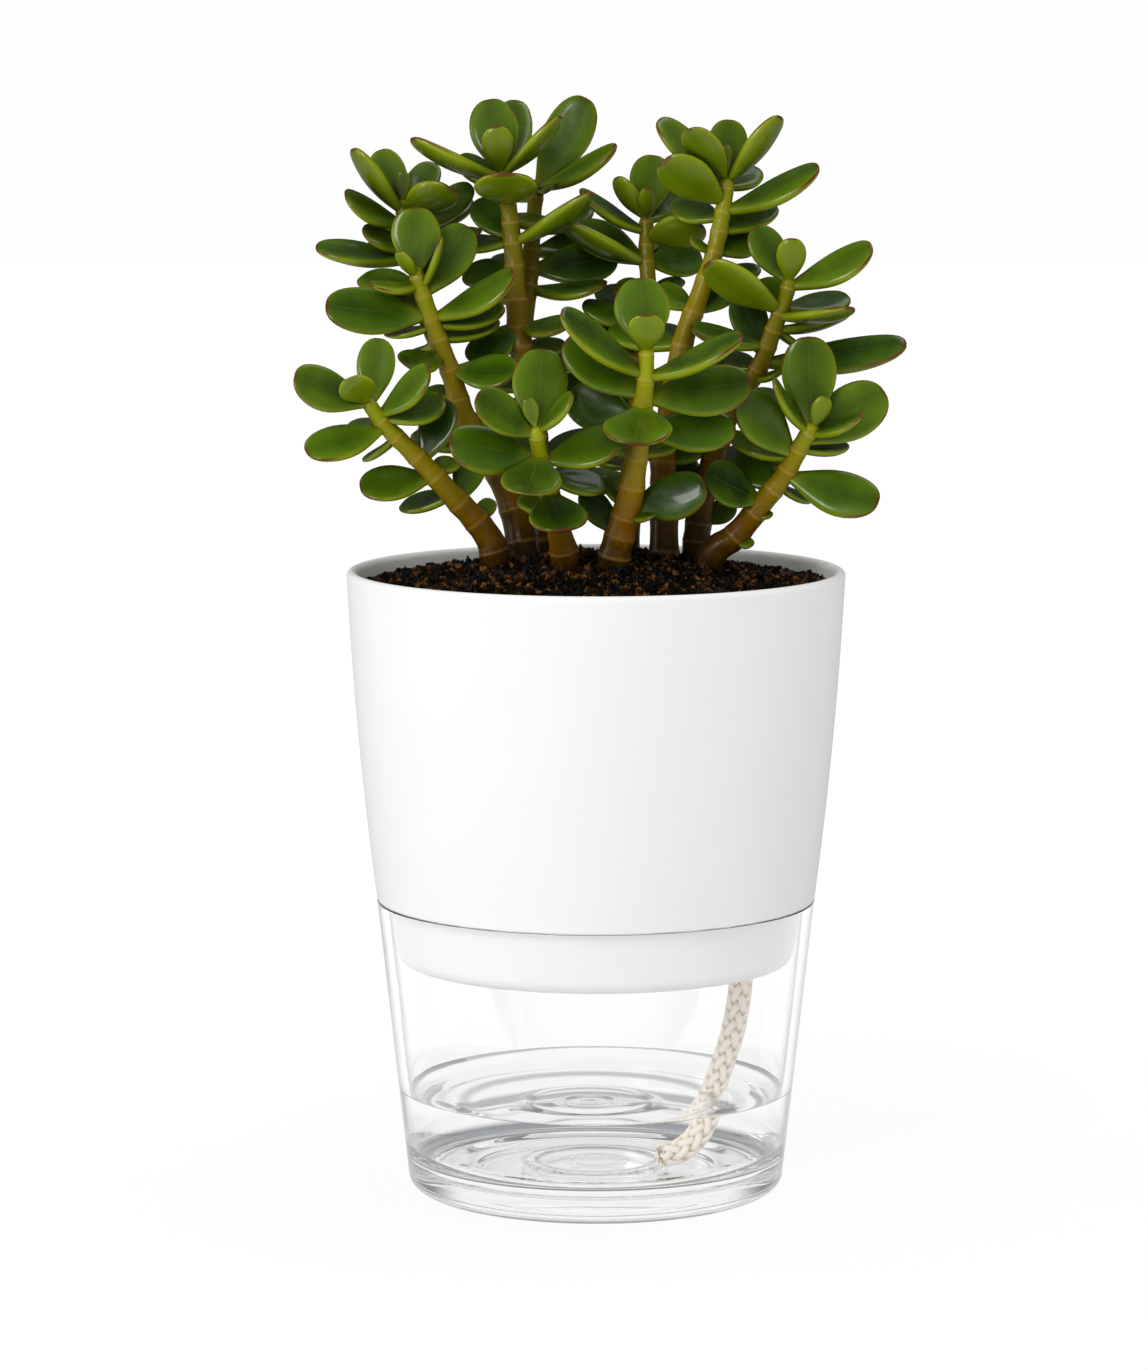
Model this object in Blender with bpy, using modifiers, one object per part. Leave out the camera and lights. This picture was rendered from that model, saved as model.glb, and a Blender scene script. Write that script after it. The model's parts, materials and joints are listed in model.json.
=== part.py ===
"""Potted jade plant: nine leafy stems in soil, in a white pot that stands on a glass water reservoir.

Metres, Z up. The origin is on the ground under the pot's axis, X runs to the right and Y away from the front.
"""
import math
import random
from collections import namedtuple

import bmesh
import bpy
from mathutils import Vector, noise
from mathutils.bvhtree import BVHTree

MM = 0.001
GAP = 0.3 * MM

# The pot: its outside widens with a slight belly from the shoulder to the rim, and its foot is inside the glass.
SIDES = 36
RIM_HEIGHT = 189.0 * MM
RIM_RADIUS = 75.1 * MM
SHOULDER_HEIGHT = 89.3 * MM
SHOULDER_RADIUS = 66.4 * MM
BELLY = 1.05 * MM
POT_WALL = 3.2 * MM
FOOT_TOP_RADIUS = 62.7 * MM
FOOT_LOW_RADIUS = 60.2 * MM
FOOT_UNDERSIDE = 70.0 * MM
FOOT_CORNER = 5.0 * MM
POT_FLOOR = 3.0 * MM
BELLY_STEPS = 3
CORNER_STEPS = 2

# The reservoir: a straight tapered tumbler of clear glass, part filled with water.
GLASS_HEIGHT = 89.0 * MM
GLASS_BASE_RADIUS = 56.6 * MM
GLASS_TAPER = 0.1105
GLASS_WALL = 3.0 * MM
GLASS_FLOOR = 8.0 * MM
GLASS_CORNER = 5.0 * MM
GLASS_INNER_CORNER = 8.0 * MM
WATER_LEVEL = 31.0 * MM

# The soil fills the pot, is domed in the middle and a little lumpy.
SOIL_EDGE_HEIGHT = 183.5 * MM
SOIL_DOME = 9.0 * MM
SOIL_RINGS = 5
SOIL_LUMP = 0.9 * MM
SOIL_LUMP_SIZE = 9.0 * MM

# The wick: a braided cord from the soil through the pot's floor to the floor of the glass. The points are on its
# centre line, in millimetres.
WICK_DIAMETER = 7.8 * MM
WICK_STEPS = 2
WICK_ROUTE = [
    (41.0, -1.0, 94.0),
    (43.2, -1.5, 82.0),
    (44.0, -2.0, 70.0),
    (43.7, -3.0, 60.0),
    (41.4, -4.0, 47.6),
    (37.6, -5.5, 36.4),
    (34.0, -7.0, 27.4),
    (31.4, -8.4, 20.6),
    (28.0, -9.6, 15.8),
    (23.8, -10.8, 13.0),
    (18.8, -12.0, 12.2),
]

# The plant was measured as it is seen from a point 1.5 m in front of the pot, on the plane through the pot's
# axis. Each place is given as that reading and how far behind the plane it really lies, and put() turns it into
# a real place.
EYE_ACROSS = -6.6
EYE_DISTANCE = 1497.5
EYE_HEIGHT = 350.9

ROOT_LENGTH = 20.0 * MM
ROOT_STEEPNESS = 2.0
STEM_TAPER = 1.35
STEM_ROUNDNESS = 2
HOLE_ROUNDNESS = 3
HOLE_MOUTH = 12.0 * MM

# A leaf is a thick oval on a short stalk. Its stations run from the root in the stem to the tip.
LEAF_SIDES = 6
LEAF_STATIONS = (0.0, 0.10, 0.34, 0.62, 0.88, 1.0)
PLAIN_STATIONS = (0.0, 0.13, 0.48, 0.85, 1.0)
PLAIN_LENGTH = 15.0 * MM
LEAF_WIDEST = 0.62
LEAF_STALK = 0.16
LEAF_SAG = 0.05
LEAF_THICKNESS = 1.2
LEAF_THICKENING = 0.10
BLADE_START = 0.25
BLADE_STANDOFF = 1.5 * MM
LEAF_CLEARANCE = 0.25 * MM

Leaf = namedtuple("Leaf", "node across up back width turn")
Shoot = namedtuple("Shoot", "points widths leaves far_side")

# Each stem has one or two shoots. A shoot has the points of its centre line (across, up, back), its width at the
# base and at the top, its leaves, and the heights of the nodes whose leaves grow on the far side and are placed by
# rule. A leaf has the height of its node, its tip (across, up, and how far the tip lies behind the node), its
# width, and the turn of its upper face in degrees: 0 faces the front, 90 faces up and 180 faces away. All lengths
# are millimetres.
STEMS = {
    "stem_front_centre": [Shoot(
        points=[
            (5, 190, -20), (9.5, 207.5, -23), (11.7, 220, -26), (14, 238, -31), (15, 247, -34), (15, 256, -36),
        ],
        widths=(9.8, 4.2),
        leaves=[
            Leaf(238.5, 11.5, 226.5, -20, 20.5, 60), Leaf(247, -10.5, 266.5, -7, 14, 58),
            Leaf(246.5, 44, 259, -8, 14.5, 66),
            Leaf(254.5, 15, 265.5, -7, 11, 170), Leaf(254, 13, 276.5, 10, 16.5, 12),
            Leaf(240.5, -9, 258, 5, 15, 30),
            Leaf(240, 46.5, 245.5, 5, 16, 25), Leaf(231, 42, 231.5, 5, 14, 30),
            Leaf(231, -8, 242, 9, 15, 20),
            Leaf(206, 33, 214.5, -1, 14.5, 22), Leaf(199, -4, 213, 3, 9, 30),
            Leaf(205, 17.5, 205.5, -3, 5, 60),
            Leaf(207, 2, 217, 3, 5, 60),
        ],
        far_side=[214, 223],
    )],
    "stem_front_low": [Shoot(
        points=[(-9, 190, -20), (-11, 200, -23), (-14, 212, -28), (-17, 224, -34), (-18.2, 232, -38)],
        widths=(8.8, 4.2),
        leaves=[
            Leaf(223.5, -21, 211.5, -18, 18, 60), Leaf(212.5, -9.5, 200.5, -18, 17.5, 60),
            Leaf(222.5, -44, 227.5, -9, 15.5, 28),
            Leaf(221.5, 8, 229, -3, 14, 42), Leaf(229, -36, 241, -7, 13, 35), Leaf(230, -7, 242, -3, 9, 66),
            Leaf(231.5, -20.5, 240.5, -1, 5, 10), Leaf(230.5, -16, 255, 9, 16.5, 10),
            Leaf(217, 3, 215, 11, 12, 50),
        ],
        far_side=[205, 214, 222],
    )],
    "stem_far_left": [Shoot(
        points=[
            (-30, 192, -8), (-34, 201, -9), (-43, 211, -12), (-53, 222, -16), (-63, 232, -20), (-69, 240, -23),
        ],
        widths=(9.2, 4.2),
        leaves=[
            Leaf(238.5, -90.5, 247, -9, 14, 30), Leaf(239.5, -73.5, 247, -8, 11, 165),
            Leaf(238, -65, 258.5, 8, 11.5, 10),
            Leaf(235, -50, 249.5, -6, 12, 50), Leaf(232, -87, 224, -9, 14, 50),
            Leaf(229, -69, 223, 12, 10, 60),
            Leaf(217, -71, 213.5, -3, 13, 42), Leaf(211, -58.5, 208.5, 10, 12, 60),
            Leaf(221, -44.5, 240, 5, 11.5, 38),
            Leaf(218, -42, 222, 9, 8, 50), Leaf(209, -36, 225, 6, 10, 20), Leaf(227, -50, 226, 14, 10, 60),
            Leaf(233, -73, 233.5, 14, 9, 60), Leaf(203.5, -31, 210, 5, 6, 40),
        ],
        far_side=[223, 234],
    )],
    "stem_far_right": [Shoot(
        points=[
            (35, 193, -4), (42, 199, -6), (50, 209, -9), (57, 218, -12), (62.5, 228, -16), (66, 233, -18),
        ],
        widths=(8.8, 4.4),
        leaves=[
            Leaf(217.5, 85, 209, -7, 15, 30), Leaf(223, 43, 241, -8, 14.5, 25),
            Leaf(209, 33, 218, -8, 14, 32),
            Leaf(231, 63.5, 259, 3, 16.5, 5), Leaf(227, 86.5, 242.5, 5, 16.5, 12),
            Leaf(230, 53, 246.5, -5, 9, 62),
            Leaf(229.5, 80, 235.5, -9, 9, 62), Leaf(231.5, 69, 241, -3, 6, 165),
            Leaf(213, 42.5, 224, 9, 12, 20),
            Leaf(206, 53, 205, -3, 4.5, 60), Leaf(199, 47, 195.8, -4, 5, 50), Leaf(222, 40, 230, 8, 9, 60),
            Leaf(225, 75, 227, 12, 10, 70), Leaf(214.5, 64, 210.5, 11, 9, 60),
        ],
        far_side=[219, 228],
    )],
    "stem_left_forked": [Shoot(
        points=[
            (-22, 194, 8), (-24.5, 206, 9), (-29, 217, 9), (-39, 234, 9), (-43.5, 248, 9),
            (-48.5, 262, 8), (-53, 275, 7), (-54, 280, 7),
        ],
        widths=(9.8, 4.2),
        leaves=[
            Leaf(265, -81, 268, -5, 15.5, 30), Leaf(264, -24.5, 278, -5, 14, 58),
            Leaf(277, -54, 297.5, 3, 15, 15),
            Leaf(273, -46, 289, -4, 9, 78), Leaf(271, -38.5, 292, 9, 14.5, 22),
            Leaf(274, -67.5, 274.5, -7, 9, 72),
            Leaf(276.5, -59, 284.5, -6, 5.5, 100), Leaf(273, -70.5, 276.5, 10, 12, 50),
            Leaf(253.5, -58, 251, -12, 12, 50),
            Leaf(249, -24, 248.5, -9, 13.5, 42), Leaf(262, -63, 260.5, 10, 11, 80),
            Leaf(262, -27.5, 268, 7, 11, 62),
            Leaf(262.5, -40.5, 250.5, 9, 9, 55), Leaf(243, -54.5, 239.5, 8, 10.5, 50),
            Leaf(258, -56, 257.5, 12, 8, 50),
        ],
        far_side=[226, 233, 240, 258, 268],
    ), Shoot(
        points=[(-45.5, 254, 9), (-51, 265, 19), (-54, 280, 29), (-57, 292, 35), (-58, 300, 37)],
        widths=(5.6, 4.0),
        leaves=[
            Leaf(296, -72.5, 315, -6, 11, 98), Leaf(297, -43, 303, -15, 13.5, 140),
            Leaf(292, -75, 301.5, -8, 13, 58),
            Leaf(282, -84, 285.5, -5, 13, 64), Leaf(299, -57.3, 308, -1, 5.5, 10),
            Leaf(297, -64.5, 314.5, 9, 11, 20),
            Leaf(297, -48.5, 310.5, 12, 10, 30), Leaf(290, -37, 304, 7, 10, 32),
            Leaf(290, -67.5, 288, 13, 12, 30),
            Leaf(291, -34, 290.5, 2, 9, 75),
        ],
        far_side=[284, 292],
    )],
    "stem_tall_right": [Shoot(
        points=[
            (20.5, 192, 2), (20.5, 210, 4), (20.5, 226, 6), (25.5, 255, 11), (30.5, 270, 14), (35, 283, 16),
            (38, 297, 18), (39, 307, 19),
        ],
        widths=(9.0, 4.4),
        leaves=[
            Leaf(299, 20, 311.5, -10, 15, 142), Leaf(296, 66.5, 309.5, -5, 14, 62),
            Leaf(305, 18.5, 323.5, 2, 13, 62),
            Leaf(305.5, 55, 324.5, -4, 12, 105), Leaf(306, 27.5, 321, -5, 11.5, 128),
            Leaf(306, 39.5, 323.5, 8, 12, 10),
            Leaf(306.5, 38.5, 316, -2, 4.5, 150), Leaf(303, 47.5, 309.5, 15, 11, 40),
            Leaf(294, 23.5, 299, 11, 11, 50),
            Leaf(284, 28, 288.5, -2, 5, 60), Leaf(284, 47.5, 289.5, 9, 12, 40),
            Leaf(267, 18.5, 274, 3, 10, 50),
            Leaf(266, 42, 276, 6, 10, 42), Leaf(276, 49, 279.5, 8, 8, 50), Leaf(221, 32, 226, 7, 8, 50),
        ],
        far_side=[224, 232, 239, 246, 256, 290],
    )],
    "stem_right": [Shoot(
        points=[
            (30, 194, 12), (32, 210, 12), (36.5, 226, 11), (41, 238, 9), (48.5, 249, 7), (53.5, 262, 4),
            (56.5, 270, 2), (58, 277, 1),
        ],
        widths=(8.4, 4.2),
        leaves=[
            Leaf(267, 33, 281, -8, 14.5, 128), Leaf(273.5, 82.5, 286, -4, 14, 55),
            Leaf(265, 76.5, 267.5, -15, 14, 100),
            Leaf(275, 58.7, 288.3, -5, 9, 170), Leaf(275, 47.5, 291.5, 4, 11.5, 42),
            Leaf(267, 75.5, 271, 9, 12.5, 60),
            Leaf(251, 93, 257, 1, 12.5, 45), Leaf(256, 28, 262.5, 6, 12, 66),
            Leaf(253, 43.5, 271, -1, 11.5, 20),
            Leaf(261, 76, 264.5, -3, 12, 100), Leaf(266, 49, 276, 15, 11.5, 20),
            Leaf(249, 39, 253.5, 9, 9, 60),
            Leaf(262, 62, 256, 13, 9, 60), Leaf(246, 56, 249, -4, 5, 60), Leaf(203, 42, 208.5, -2, 8, 30),
        ],
        far_side=[215, 222, 229, 236, 243, 258],
    )],
    "stem_back_centre": [Shoot(
        points=[(9, 193, 18), (11.5, 225, 23), (14, 250, 28), (15.5, 272, 34), (15, 284, 37), (15, 296, 40)],
        widths=(8.0, 4.0),
        leaves=[
            Leaf(281, -10, 293, -8, 14, 104), Leaf(288.5, 32, 292, -14, 14.5, 138),
            Leaf(290, -5, 302.5, -4, 12, 72),
            Leaf(294, 6, 306.5, -3, 8.5, 112), Leaf(294, 17, 313, 8, 13, 12),
            Leaf(294.5, 15, 303.5, -3, 5, 150),
            Leaf(293, 25.5, 302.5, 11, 10, 32), Leaf(281, 31.5, 283, 9, 13, 26),
            Leaf(281, -6, 292, 13, 12.5, 32),
            Leaf(273, 5.5, 274, 5, 9, 50), Leaf(262, -4, 269, 4, 9, 50), Leaf(272, 26, 276, 8, 7, 60),
        ],
        far_side=[220, 228, 236, 244, 252, 258, 266, 286],
    )],
    "stem_back_forked": [Shoot(
        points=[
            (-15, 196, 24), (-18, 225, 26), (-22.5, 256, 27), (-24, 272, 28), (-25, 288, 28),
            (-26.5, 300, 28), (-28.3, 309, 28),
        ],
        widths=(9.4, 4.4),
        leaves=[
            Leaf(299, -27.5, 307.5, -21, 19, 140), Leaf(306, -55, 318, -9, 14, 98),
            Leaf(307.5, -10.5, 324.5, -4, 11, 100),
            Leaf(307.5, -30, 321.5, -5, 10, 170), Leaf(307, -32, 329.5, 9, 15, 8),
            Leaf(306, -24, 329, 13, 13, 20),
            Leaf(287, -1, 302, -4, 10, 98), Leaf(287, -43, 288, 4, 11.5, 66),
            Leaf(280, -40, 277, 5, 12, 50),
            Leaf(288, -36, 299.5, 10, 10.5, 30), Leaf(303, -40.5, 313, 16, 9.5, 50),
            Leaf(263, -37.5, 251.5, -6, 12.5, 40),
            Leaf(262, -8, 262, -11, 13, 60), Leaf(256, -9, 257, 7, 9.5, 60),
        ],
        far_side=[215, 222, 229, 236, 243, 250, 270, 293],
    ), Shoot(
        points=[(-22.7, 258, 27), (-20.5, 272, 39), (-19.3, 285, 48), (-18.3, 298, 54), (-17.2, 306, 56)],
        widths=(6.4, 4.2),
        leaves=[
            Leaf(303, -3, 330, 7, 15.5, 24), Leaf(303, 6, 315.5, -4, 13, 60),
            Leaf(279, 6.5, 282, -6, 15.5, 38),
            Leaf(273, 3, 275, -2, 12, 70), Leaf(302, -12, 304.5, -7, 6, 60), Leaf(284, 8, 290, 10, 13, 36),
        ],
        far_side=[278, 290, 300],
    )],
}

# A leaf of the far side points away from the front, to the left and right by turns.
FAR_SIDE_SEED = 7
FAR_SIDE_BEARING = (22.0, 62.0)
FAR_SIDE_RISE = (5.0, 32.0)
FAR_SIDE_LENGTH = (21.0, 28.0)
FAR_SIDE_ASPECT = 0.56
FAR_SIDE_TURN = 62.0

# What would cross another leaf or stem is bent clear, by the first of these changes that is enough:
# how far the tip moves back, how far it moves up, and the leaf's length as a share of the full one.
BENDS = [(0, 0, 1.0)]
BENDS += [(back, 0, 1.0) for step in (4, 8, 12) for back in (step, -step)]
BENDS += [(back, up, 1.0) for up in (4, -4) for back in (0, 5, -5, 10, -10, 15, -15)]
BENDS += [(back, up, 0.85) for up in (0, 5, -5) for back in (0, 7, -7, 14, -14)]
BENDS += [(back, up, 0.68) for up in (0, 6, -6) for back in (0, 8, -8, 16, -16)]


def material(name, colour, roughness, transmission=0.0):
    """A plain surface with the colour as linear red, green and blue."""
    made = bpy.data.materials.new(name)
    made.use_nodes = True
    shader = made.node_tree.nodes["Principled BSDF"]
    shader.inputs["Base Color"].default_value = (*colour, 1.0)
    shader.inputs["Roughness"].default_value = roughness
    shader.inputs["Metallic"].default_value = 0.0
    shader.inputs["Transmission Weight"].default_value = transmission
    return made


def new_collection(name):
    made = bpy.data.collections.new(name)
    bpy.context.scene.collection.children.link(made)
    return made


def add_object(name, mesh, collection, finish=None):
    made = bpy.data.objects.new(name, mesh)
    collection.objects.link(made)
    if finish:
        mesh.materials.append(finish)
    return made


def arc(centre, radius, start, end, steps):
    """Points of a round corner, with the angles in degrees."""
    points = []
    for step in range(steps + 1):
        angle = math.radians(start + (end - start) * step / steps)
        points.append((centre[0] + radius * math.cos(angle), centre[1] + radius * math.sin(angle)))
    return points


def turned(name, outline, collection, finish=None):
    """A solid of revolution about the Z axis, from its half outline as radius and height."""
    mesh = bpy.data.meshes.new(name)
    mesh.from_pydata([(radius, 0.0, height) for radius, height in outline],
                     [(i, i + 1) for i in range(len(outline) - 1)], [])
    made = add_object(name, mesh, collection, finish)
    screw = made.modifiers.new("turn", "SCREW")
    screw.steps = SIDES
    screw.render_steps = SIDES
    screw.use_merge_vertices = True
    screw.merge_threshold = 0.00001
    screw.use_smooth_shade = True
    return made


def baked(made):
    """Turns an object with modifiers, or a curve, into a plain welded mesh object of the same name."""
    graph = bpy.context.evaluated_depsgraph_get()
    mesh = bpy.data.meshes.new_from_object(made.evaluated_get(graph))
    shape = bmesh.new()
    shape.from_mesh(mesh)
    bmesh.ops.remove_doubles(shape, verts=shape.verts, dist=0.000001)
    shape.to_mesh(mesh)
    shape.free()
    name = made.name
    collection = made.users_collection[0]
    bpy.data.objects.remove(made)
    made = bpy.data.objects.new(name, mesh)
    collection.objects.link(made)
    return made


def smooth_line(points, steps):
    """Points of a smooth curve through the given ones, with the given number of steps to each span."""
    ends = [2 * points[0] - points[1], *points, 2 * points[-1] - points[-2]]
    line = []
    for i in range(1, len(ends) - 2):
        before, start, end, after = ends[i - 1:i + 3]
        for step in range(steps):
            t = step / steps
            line.append(0.5 * (2 * start + (end - before) * t
                               + (2 * before - 5 * start + 4 * end - after) * t ** 2
                               + (3 * start - before - 3 * end + after) * t ** 3))
    return line + [points[-1].copy()]


def tube(name, line, radii, roundness, collection, finish=None):
    """A closed tube along the line, with a radius for each of its points."""
    curve = bpy.data.curves.new(name, "CURVE")
    curve.dimensions = "3D"
    curve.bevel_depth = max(radii)
    curve.bevel_resolution = roundness
    curve.use_fill_caps = True
    spline = curve.splines.new("POLY")
    spline.points.add(len(line) - 1)
    for point, place, radius in zip(spline.points, line, radii):
        point.co = (*place, 1.0)
        point.radius = radius / max(radii)
    made = baked(add_object(name, curve, collection))
    if finish:
        made.data.materials.append(finish)
    return made


def cut(made, cutter):
    boolean = made.modifiers.new(cutter.name, "BOOLEAN")
    boolean.operation = "DIFFERENCE"
    boolean.object = cutter


def pot_radius(height):
    """Outer radius of the pot above its shoulder."""
    share = (height - SHOULDER_HEIGHT) / (RIM_HEIGHT - SHOULDER_HEIGHT)
    return SHOULDER_RADIUS + (RIM_RADIUS - SHOULDER_RADIUS) * share + BELLY * 4 * share * (1 - share)


def pot_inner_wall(bottom, top, gap):
    """Outline of the pot's inner wall from the bottom to the top, drawn in by the gap."""
    foot = FOOT_LOW_RADIUS - POT_WALL - gap
    floor = bottom + FOOT_CORNER - POT_FLOOR
    points = [(foot - FOOT_CORNER + POT_FLOOR, bottom), (foot, floor)]
    points.append((FOOT_TOP_RADIUS - POT_WALL - gap, SHOULDER_HEIGHT))
    for step in range(1, BELLY_STEPS + 1):
        height = SHOULDER_HEIGHT + (top - SHOULDER_HEIGHT) * step / BELLY_STEPS
        points.append((pot_radius(height) - POT_WALL - gap, height))
    return points


def make_pot(collection, wick_cutter):
    lip = POT_WALL / 2
    low = FOOT_UNDERSIDE + FOOT_CORNER
    outline = [(0.0, FOOT_UNDERSIDE + POT_FLOOR)]
    outline += pot_inner_wall(FOOT_UNDERSIDE + POT_FLOOR, RIM_HEIGHT - lip, 0.0)
    outline += arc((RIM_RADIUS - lip, RIM_HEIGHT - lip), lip, 135, 0, CORNER_STEPS)
    for step in range(1, BELLY_STEPS):
        height = RIM_HEIGHT - lip + (SHOULDER_HEIGHT - RIM_HEIGHT + lip) * step / BELLY_STEPS
        outline.append((pot_radius(height), height))
    outline += [(SHOULDER_RADIUS, SHOULDER_HEIGHT), (FOOT_TOP_RADIUS, SHOULDER_HEIGHT)]
    outline += arc((FOOT_LOW_RADIUS - FOOT_CORNER, low), FOOT_CORNER, 0, -90, CORNER_STEPS)
    outline.append((0.0, FOOT_UNDERSIDE))
    pot = turned("pot", outline, collection, material("white_pot", (0.86, 0.86, 0.86), 0.45))
    cut(pot, wick_cutter)
    return pot


def glass_radius(height):
    return GLASS_BASE_RADIUS + GLASS_TAPER * height


def make_reservoir(collection):
    low = GLASS_FLOOR + GLASS_INNER_CORNER
    inner = glass_radius(low) - GLASS_WALL
    outline = [(0.0, GLASS_FLOOR)]
    outline += arc((inner - GLASS_INNER_CORNER, low), GLASS_INNER_CORNER, -90, 0, CORNER_STEPS)
    rim = glass_radius(GLASS_HEIGHT)
    outline += [(rim - GLASS_WALL, GLASS_HEIGHT), (rim, GLASS_HEIGHT)]
    corner = glass_radius(GLASS_CORNER) - GLASS_CORNER
    outline += arc((corner, GLASS_CORNER), GLASS_CORNER, 0, -90, CORNER_STEPS)
    outline.append((0.0, 0.0))
    return turned("reservoir", outline, collection, material("clear_glass", (0.95, 0.97, 0.97), 0.03, 1.0))


def make_water(collection, wick_cutter):
    low = GLASS_FLOOR + GLASS_INNER_CORNER
    inner = glass_radius(low) - GLASS_WALL
    outline = [(0.0, WATER_LEVEL), (glass_radius(WATER_LEVEL) - GLASS_WALL - GAP, WATER_LEVEL)]
    outline += arc((inner - GLASS_INNER_CORNER, low), GLASS_INNER_CORNER - GAP, 0, -90, CORNER_STEPS)
    outline.append((0.0, GLASS_FLOOR + GAP))
    water = turned("water", outline, collection, material("clear_water", (0.9, 0.95, 0.97), 0.02, 1.0))
    cut(water, wick_cutter)
    return water


def soil_height(radius, edge):
    return SOIL_EDGE_HEIGHT + SOIL_DOME * math.cos(math.pi / 2 * radius / edge) ** 1.2


def make_soil(collection, cutters):
    floor = FOOT_UNDERSIDE + POT_FLOOR + GAP
    edge = pot_radius(SOIL_EDGE_HEIGHT) - POT_WALL - GAP
    outline = [(0.0, soil_height(0.0, edge))]
    for ring in range(1, SOIL_RINGS):
        radius = edge * ring / SOIL_RINGS
        outline.append((radius, soil_height(radius, edge)))
    outline += reversed(pot_inner_wall(floor, SOIL_EDGE_HEIGHT, GAP))
    outline.append((0.0, floor))
    soil = baked(turned("soil", outline, collection, material("potting_soil", (0.03, 0.015, 0.008), 0.95)))
    for vertex in soil.data.vertices:
        if vertex.co.z > SOIL_EDGE_HEIGHT + 0.1 * MM:
            vertex.co.z += SOIL_LUMP * noise.noise(vertex.co / SOIL_LUMP_SIZE)
    soil.modifiers.new("flat_faces", "TRIANGULATE")
    for cutter in cutters:
        cut(soil, cutter)
    return soil


def wick_line():
    return smooth_line([Vector(point) * MM for point in WICK_ROUTE], WICK_STEPS)


def make_wick(collection):
    line = wick_line()
    finish = material("cotton_wick", (0.80, 0.76, 0.66), 0.9)
    return tube("wick", line, [WICK_DIAMETER / 2] * len(line), STEM_ROUNDNESS, collection, finish)


def hole_cutter(name, line, radii, collection):
    """A tube that clears the one along the line all round and at both ends."""
    start = line[0] + (line[0] - line[1]).normalized() * GAP
    end = line[-1] + (line[-1] - line[-2]).normalized() * GAP
    sides = 4 + 2 * HOLE_ROUNDNESS
    wider = [(radius + GAP) / math.cos(math.pi / sides) for radius in radii]
    made = tube(name, [start, *line[1:-1], end], wider, HOLE_ROUNDNESS, collection)
    made.hide_render = True
    made.display_type = "WIRE"
    return made


def put(across, up, back):
    """The real place of a point that is seen at the given place and lies that far behind the pot's axis."""
    share = back / EYE_DISTANCE
    return Vector((across + (across - EYE_ACROSS) * share, back, up + (up - EYE_HEIGHT) * share)) * MM


def stem_radius(shoot, share):
    """Radius of a shoot at a share of its length, in millimetres."""
    base, top = shoot.widths
    return (top + (base - top) * (1 - share) ** STEM_TAPER) / 2


def on_shoot(shoot, up):
    """The point of a shoot's centre line at a height, as they are seen, and the shoot's radius there."""
    points = [Vector(point) for point in shoot.points]
    for count, (low, high) in enumerate(zip(points, points[1:])):
        if up <= high.y or count == len(points) - 2:
            part = min(1.0, (up - low.y) / (high.y - low.y))
            return low.lerp(high, part), stem_radius(shoot, (count + part) / (len(points) - 1))


def shoot_tube(shoot, has_root):
    """The real centre line of a shoot and its radii. A stem's line starts below the soil."""
    line = [put(*point) for point in shoot.points]
    radii = [stem_radius(shoot, count / (len(line) - 1)) * MM for count in range(len(line))]
    if has_root:
        down = (line[0] - line[1]).normalized() + Vector((0.0, 0.0, -ROOT_STEEPNESS))
        line.insert(0, line[0] + down.normalized() * ROOT_LENGTH)
        radii.insert(0, radii[0])
    return line, radii


def far_side_leaves(shoot, draw):
    """Leaves on the side that is away from the front, at the shoot's listed nodes."""
    leaves = []
    for count, up in enumerate(shoot.far_side):
        node = on_shoot(shoot, up)[0]
        bearing = math.radians(draw.uniform(*FAR_SIDE_BEARING)) * (1 if count % 2 else -1)
        rise = math.radians(draw.uniform(*FAR_SIDE_RISE))
        length = draw.uniform(*FAR_SIDE_LENGTH)
        leaves.append(Leaf(
            up,
            node.x + length * math.cos(rise) * math.sin(bearing),
            up + length * math.sin(rise),
            length * math.cos(rise) * math.cos(bearing),
            length * FAR_SIDE_ASPECT,
            FAR_SIDE_TURN,
        ))
    return leaves


def leaf_template(stations):
    """A ball with one ring of points for each station, as (station, across, up) and faces."""
    ball = bmesh.new()
    bmesh.ops.create_uvsphere(ball, u_segments=LEAF_SIDES, v_segments=len(stations) - 1, radius=1.0)
    levels = sorted({round(vertex.co.z, 4) for vertex in ball.verts})
    points = []
    for vertex in ball.verts:
        station = stations[levels.index(round(vertex.co.z, 4))]
        around = math.hypot(vertex.co.x, vertex.co.y)
        if around < 0.001:
            points.append((station, 0.0, 0.0))
            continue
        across = math.copysign(abs(vertex.co.x / around) ** 0.6, vertex.co.x)
        points.append((station, across, vertex.co.y / around / math.sin(math.pi / 3)))
    faces = [[vertex.index for vertex in face.verts] for face in ball.faces]
    ball.free()
    return points, faces


def leaf_outline(station):
    """Half width of a leaf at a station, as a share of its greatest half width."""
    if station < LEAF_WIDEST:
        return LEAF_STALK + (1 - LEAF_STALK) * math.sin(math.pi / 2 * station / LEAF_WIDEST) ** 1.3
    beyond = (station - LEAF_WIDEST) / (1 - LEAF_WIDEST)
    return max(0.0, 1 - beyond ** 2) ** 0.42


def leaf_thickness(station):
    """Half thickness of a leaf at a station, as a share of the greatest."""
    return 0.62 + 0.38 * math.sin(math.pi * min(1.0, station / 0.9)) if station < 0.9 else 0.62


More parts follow.
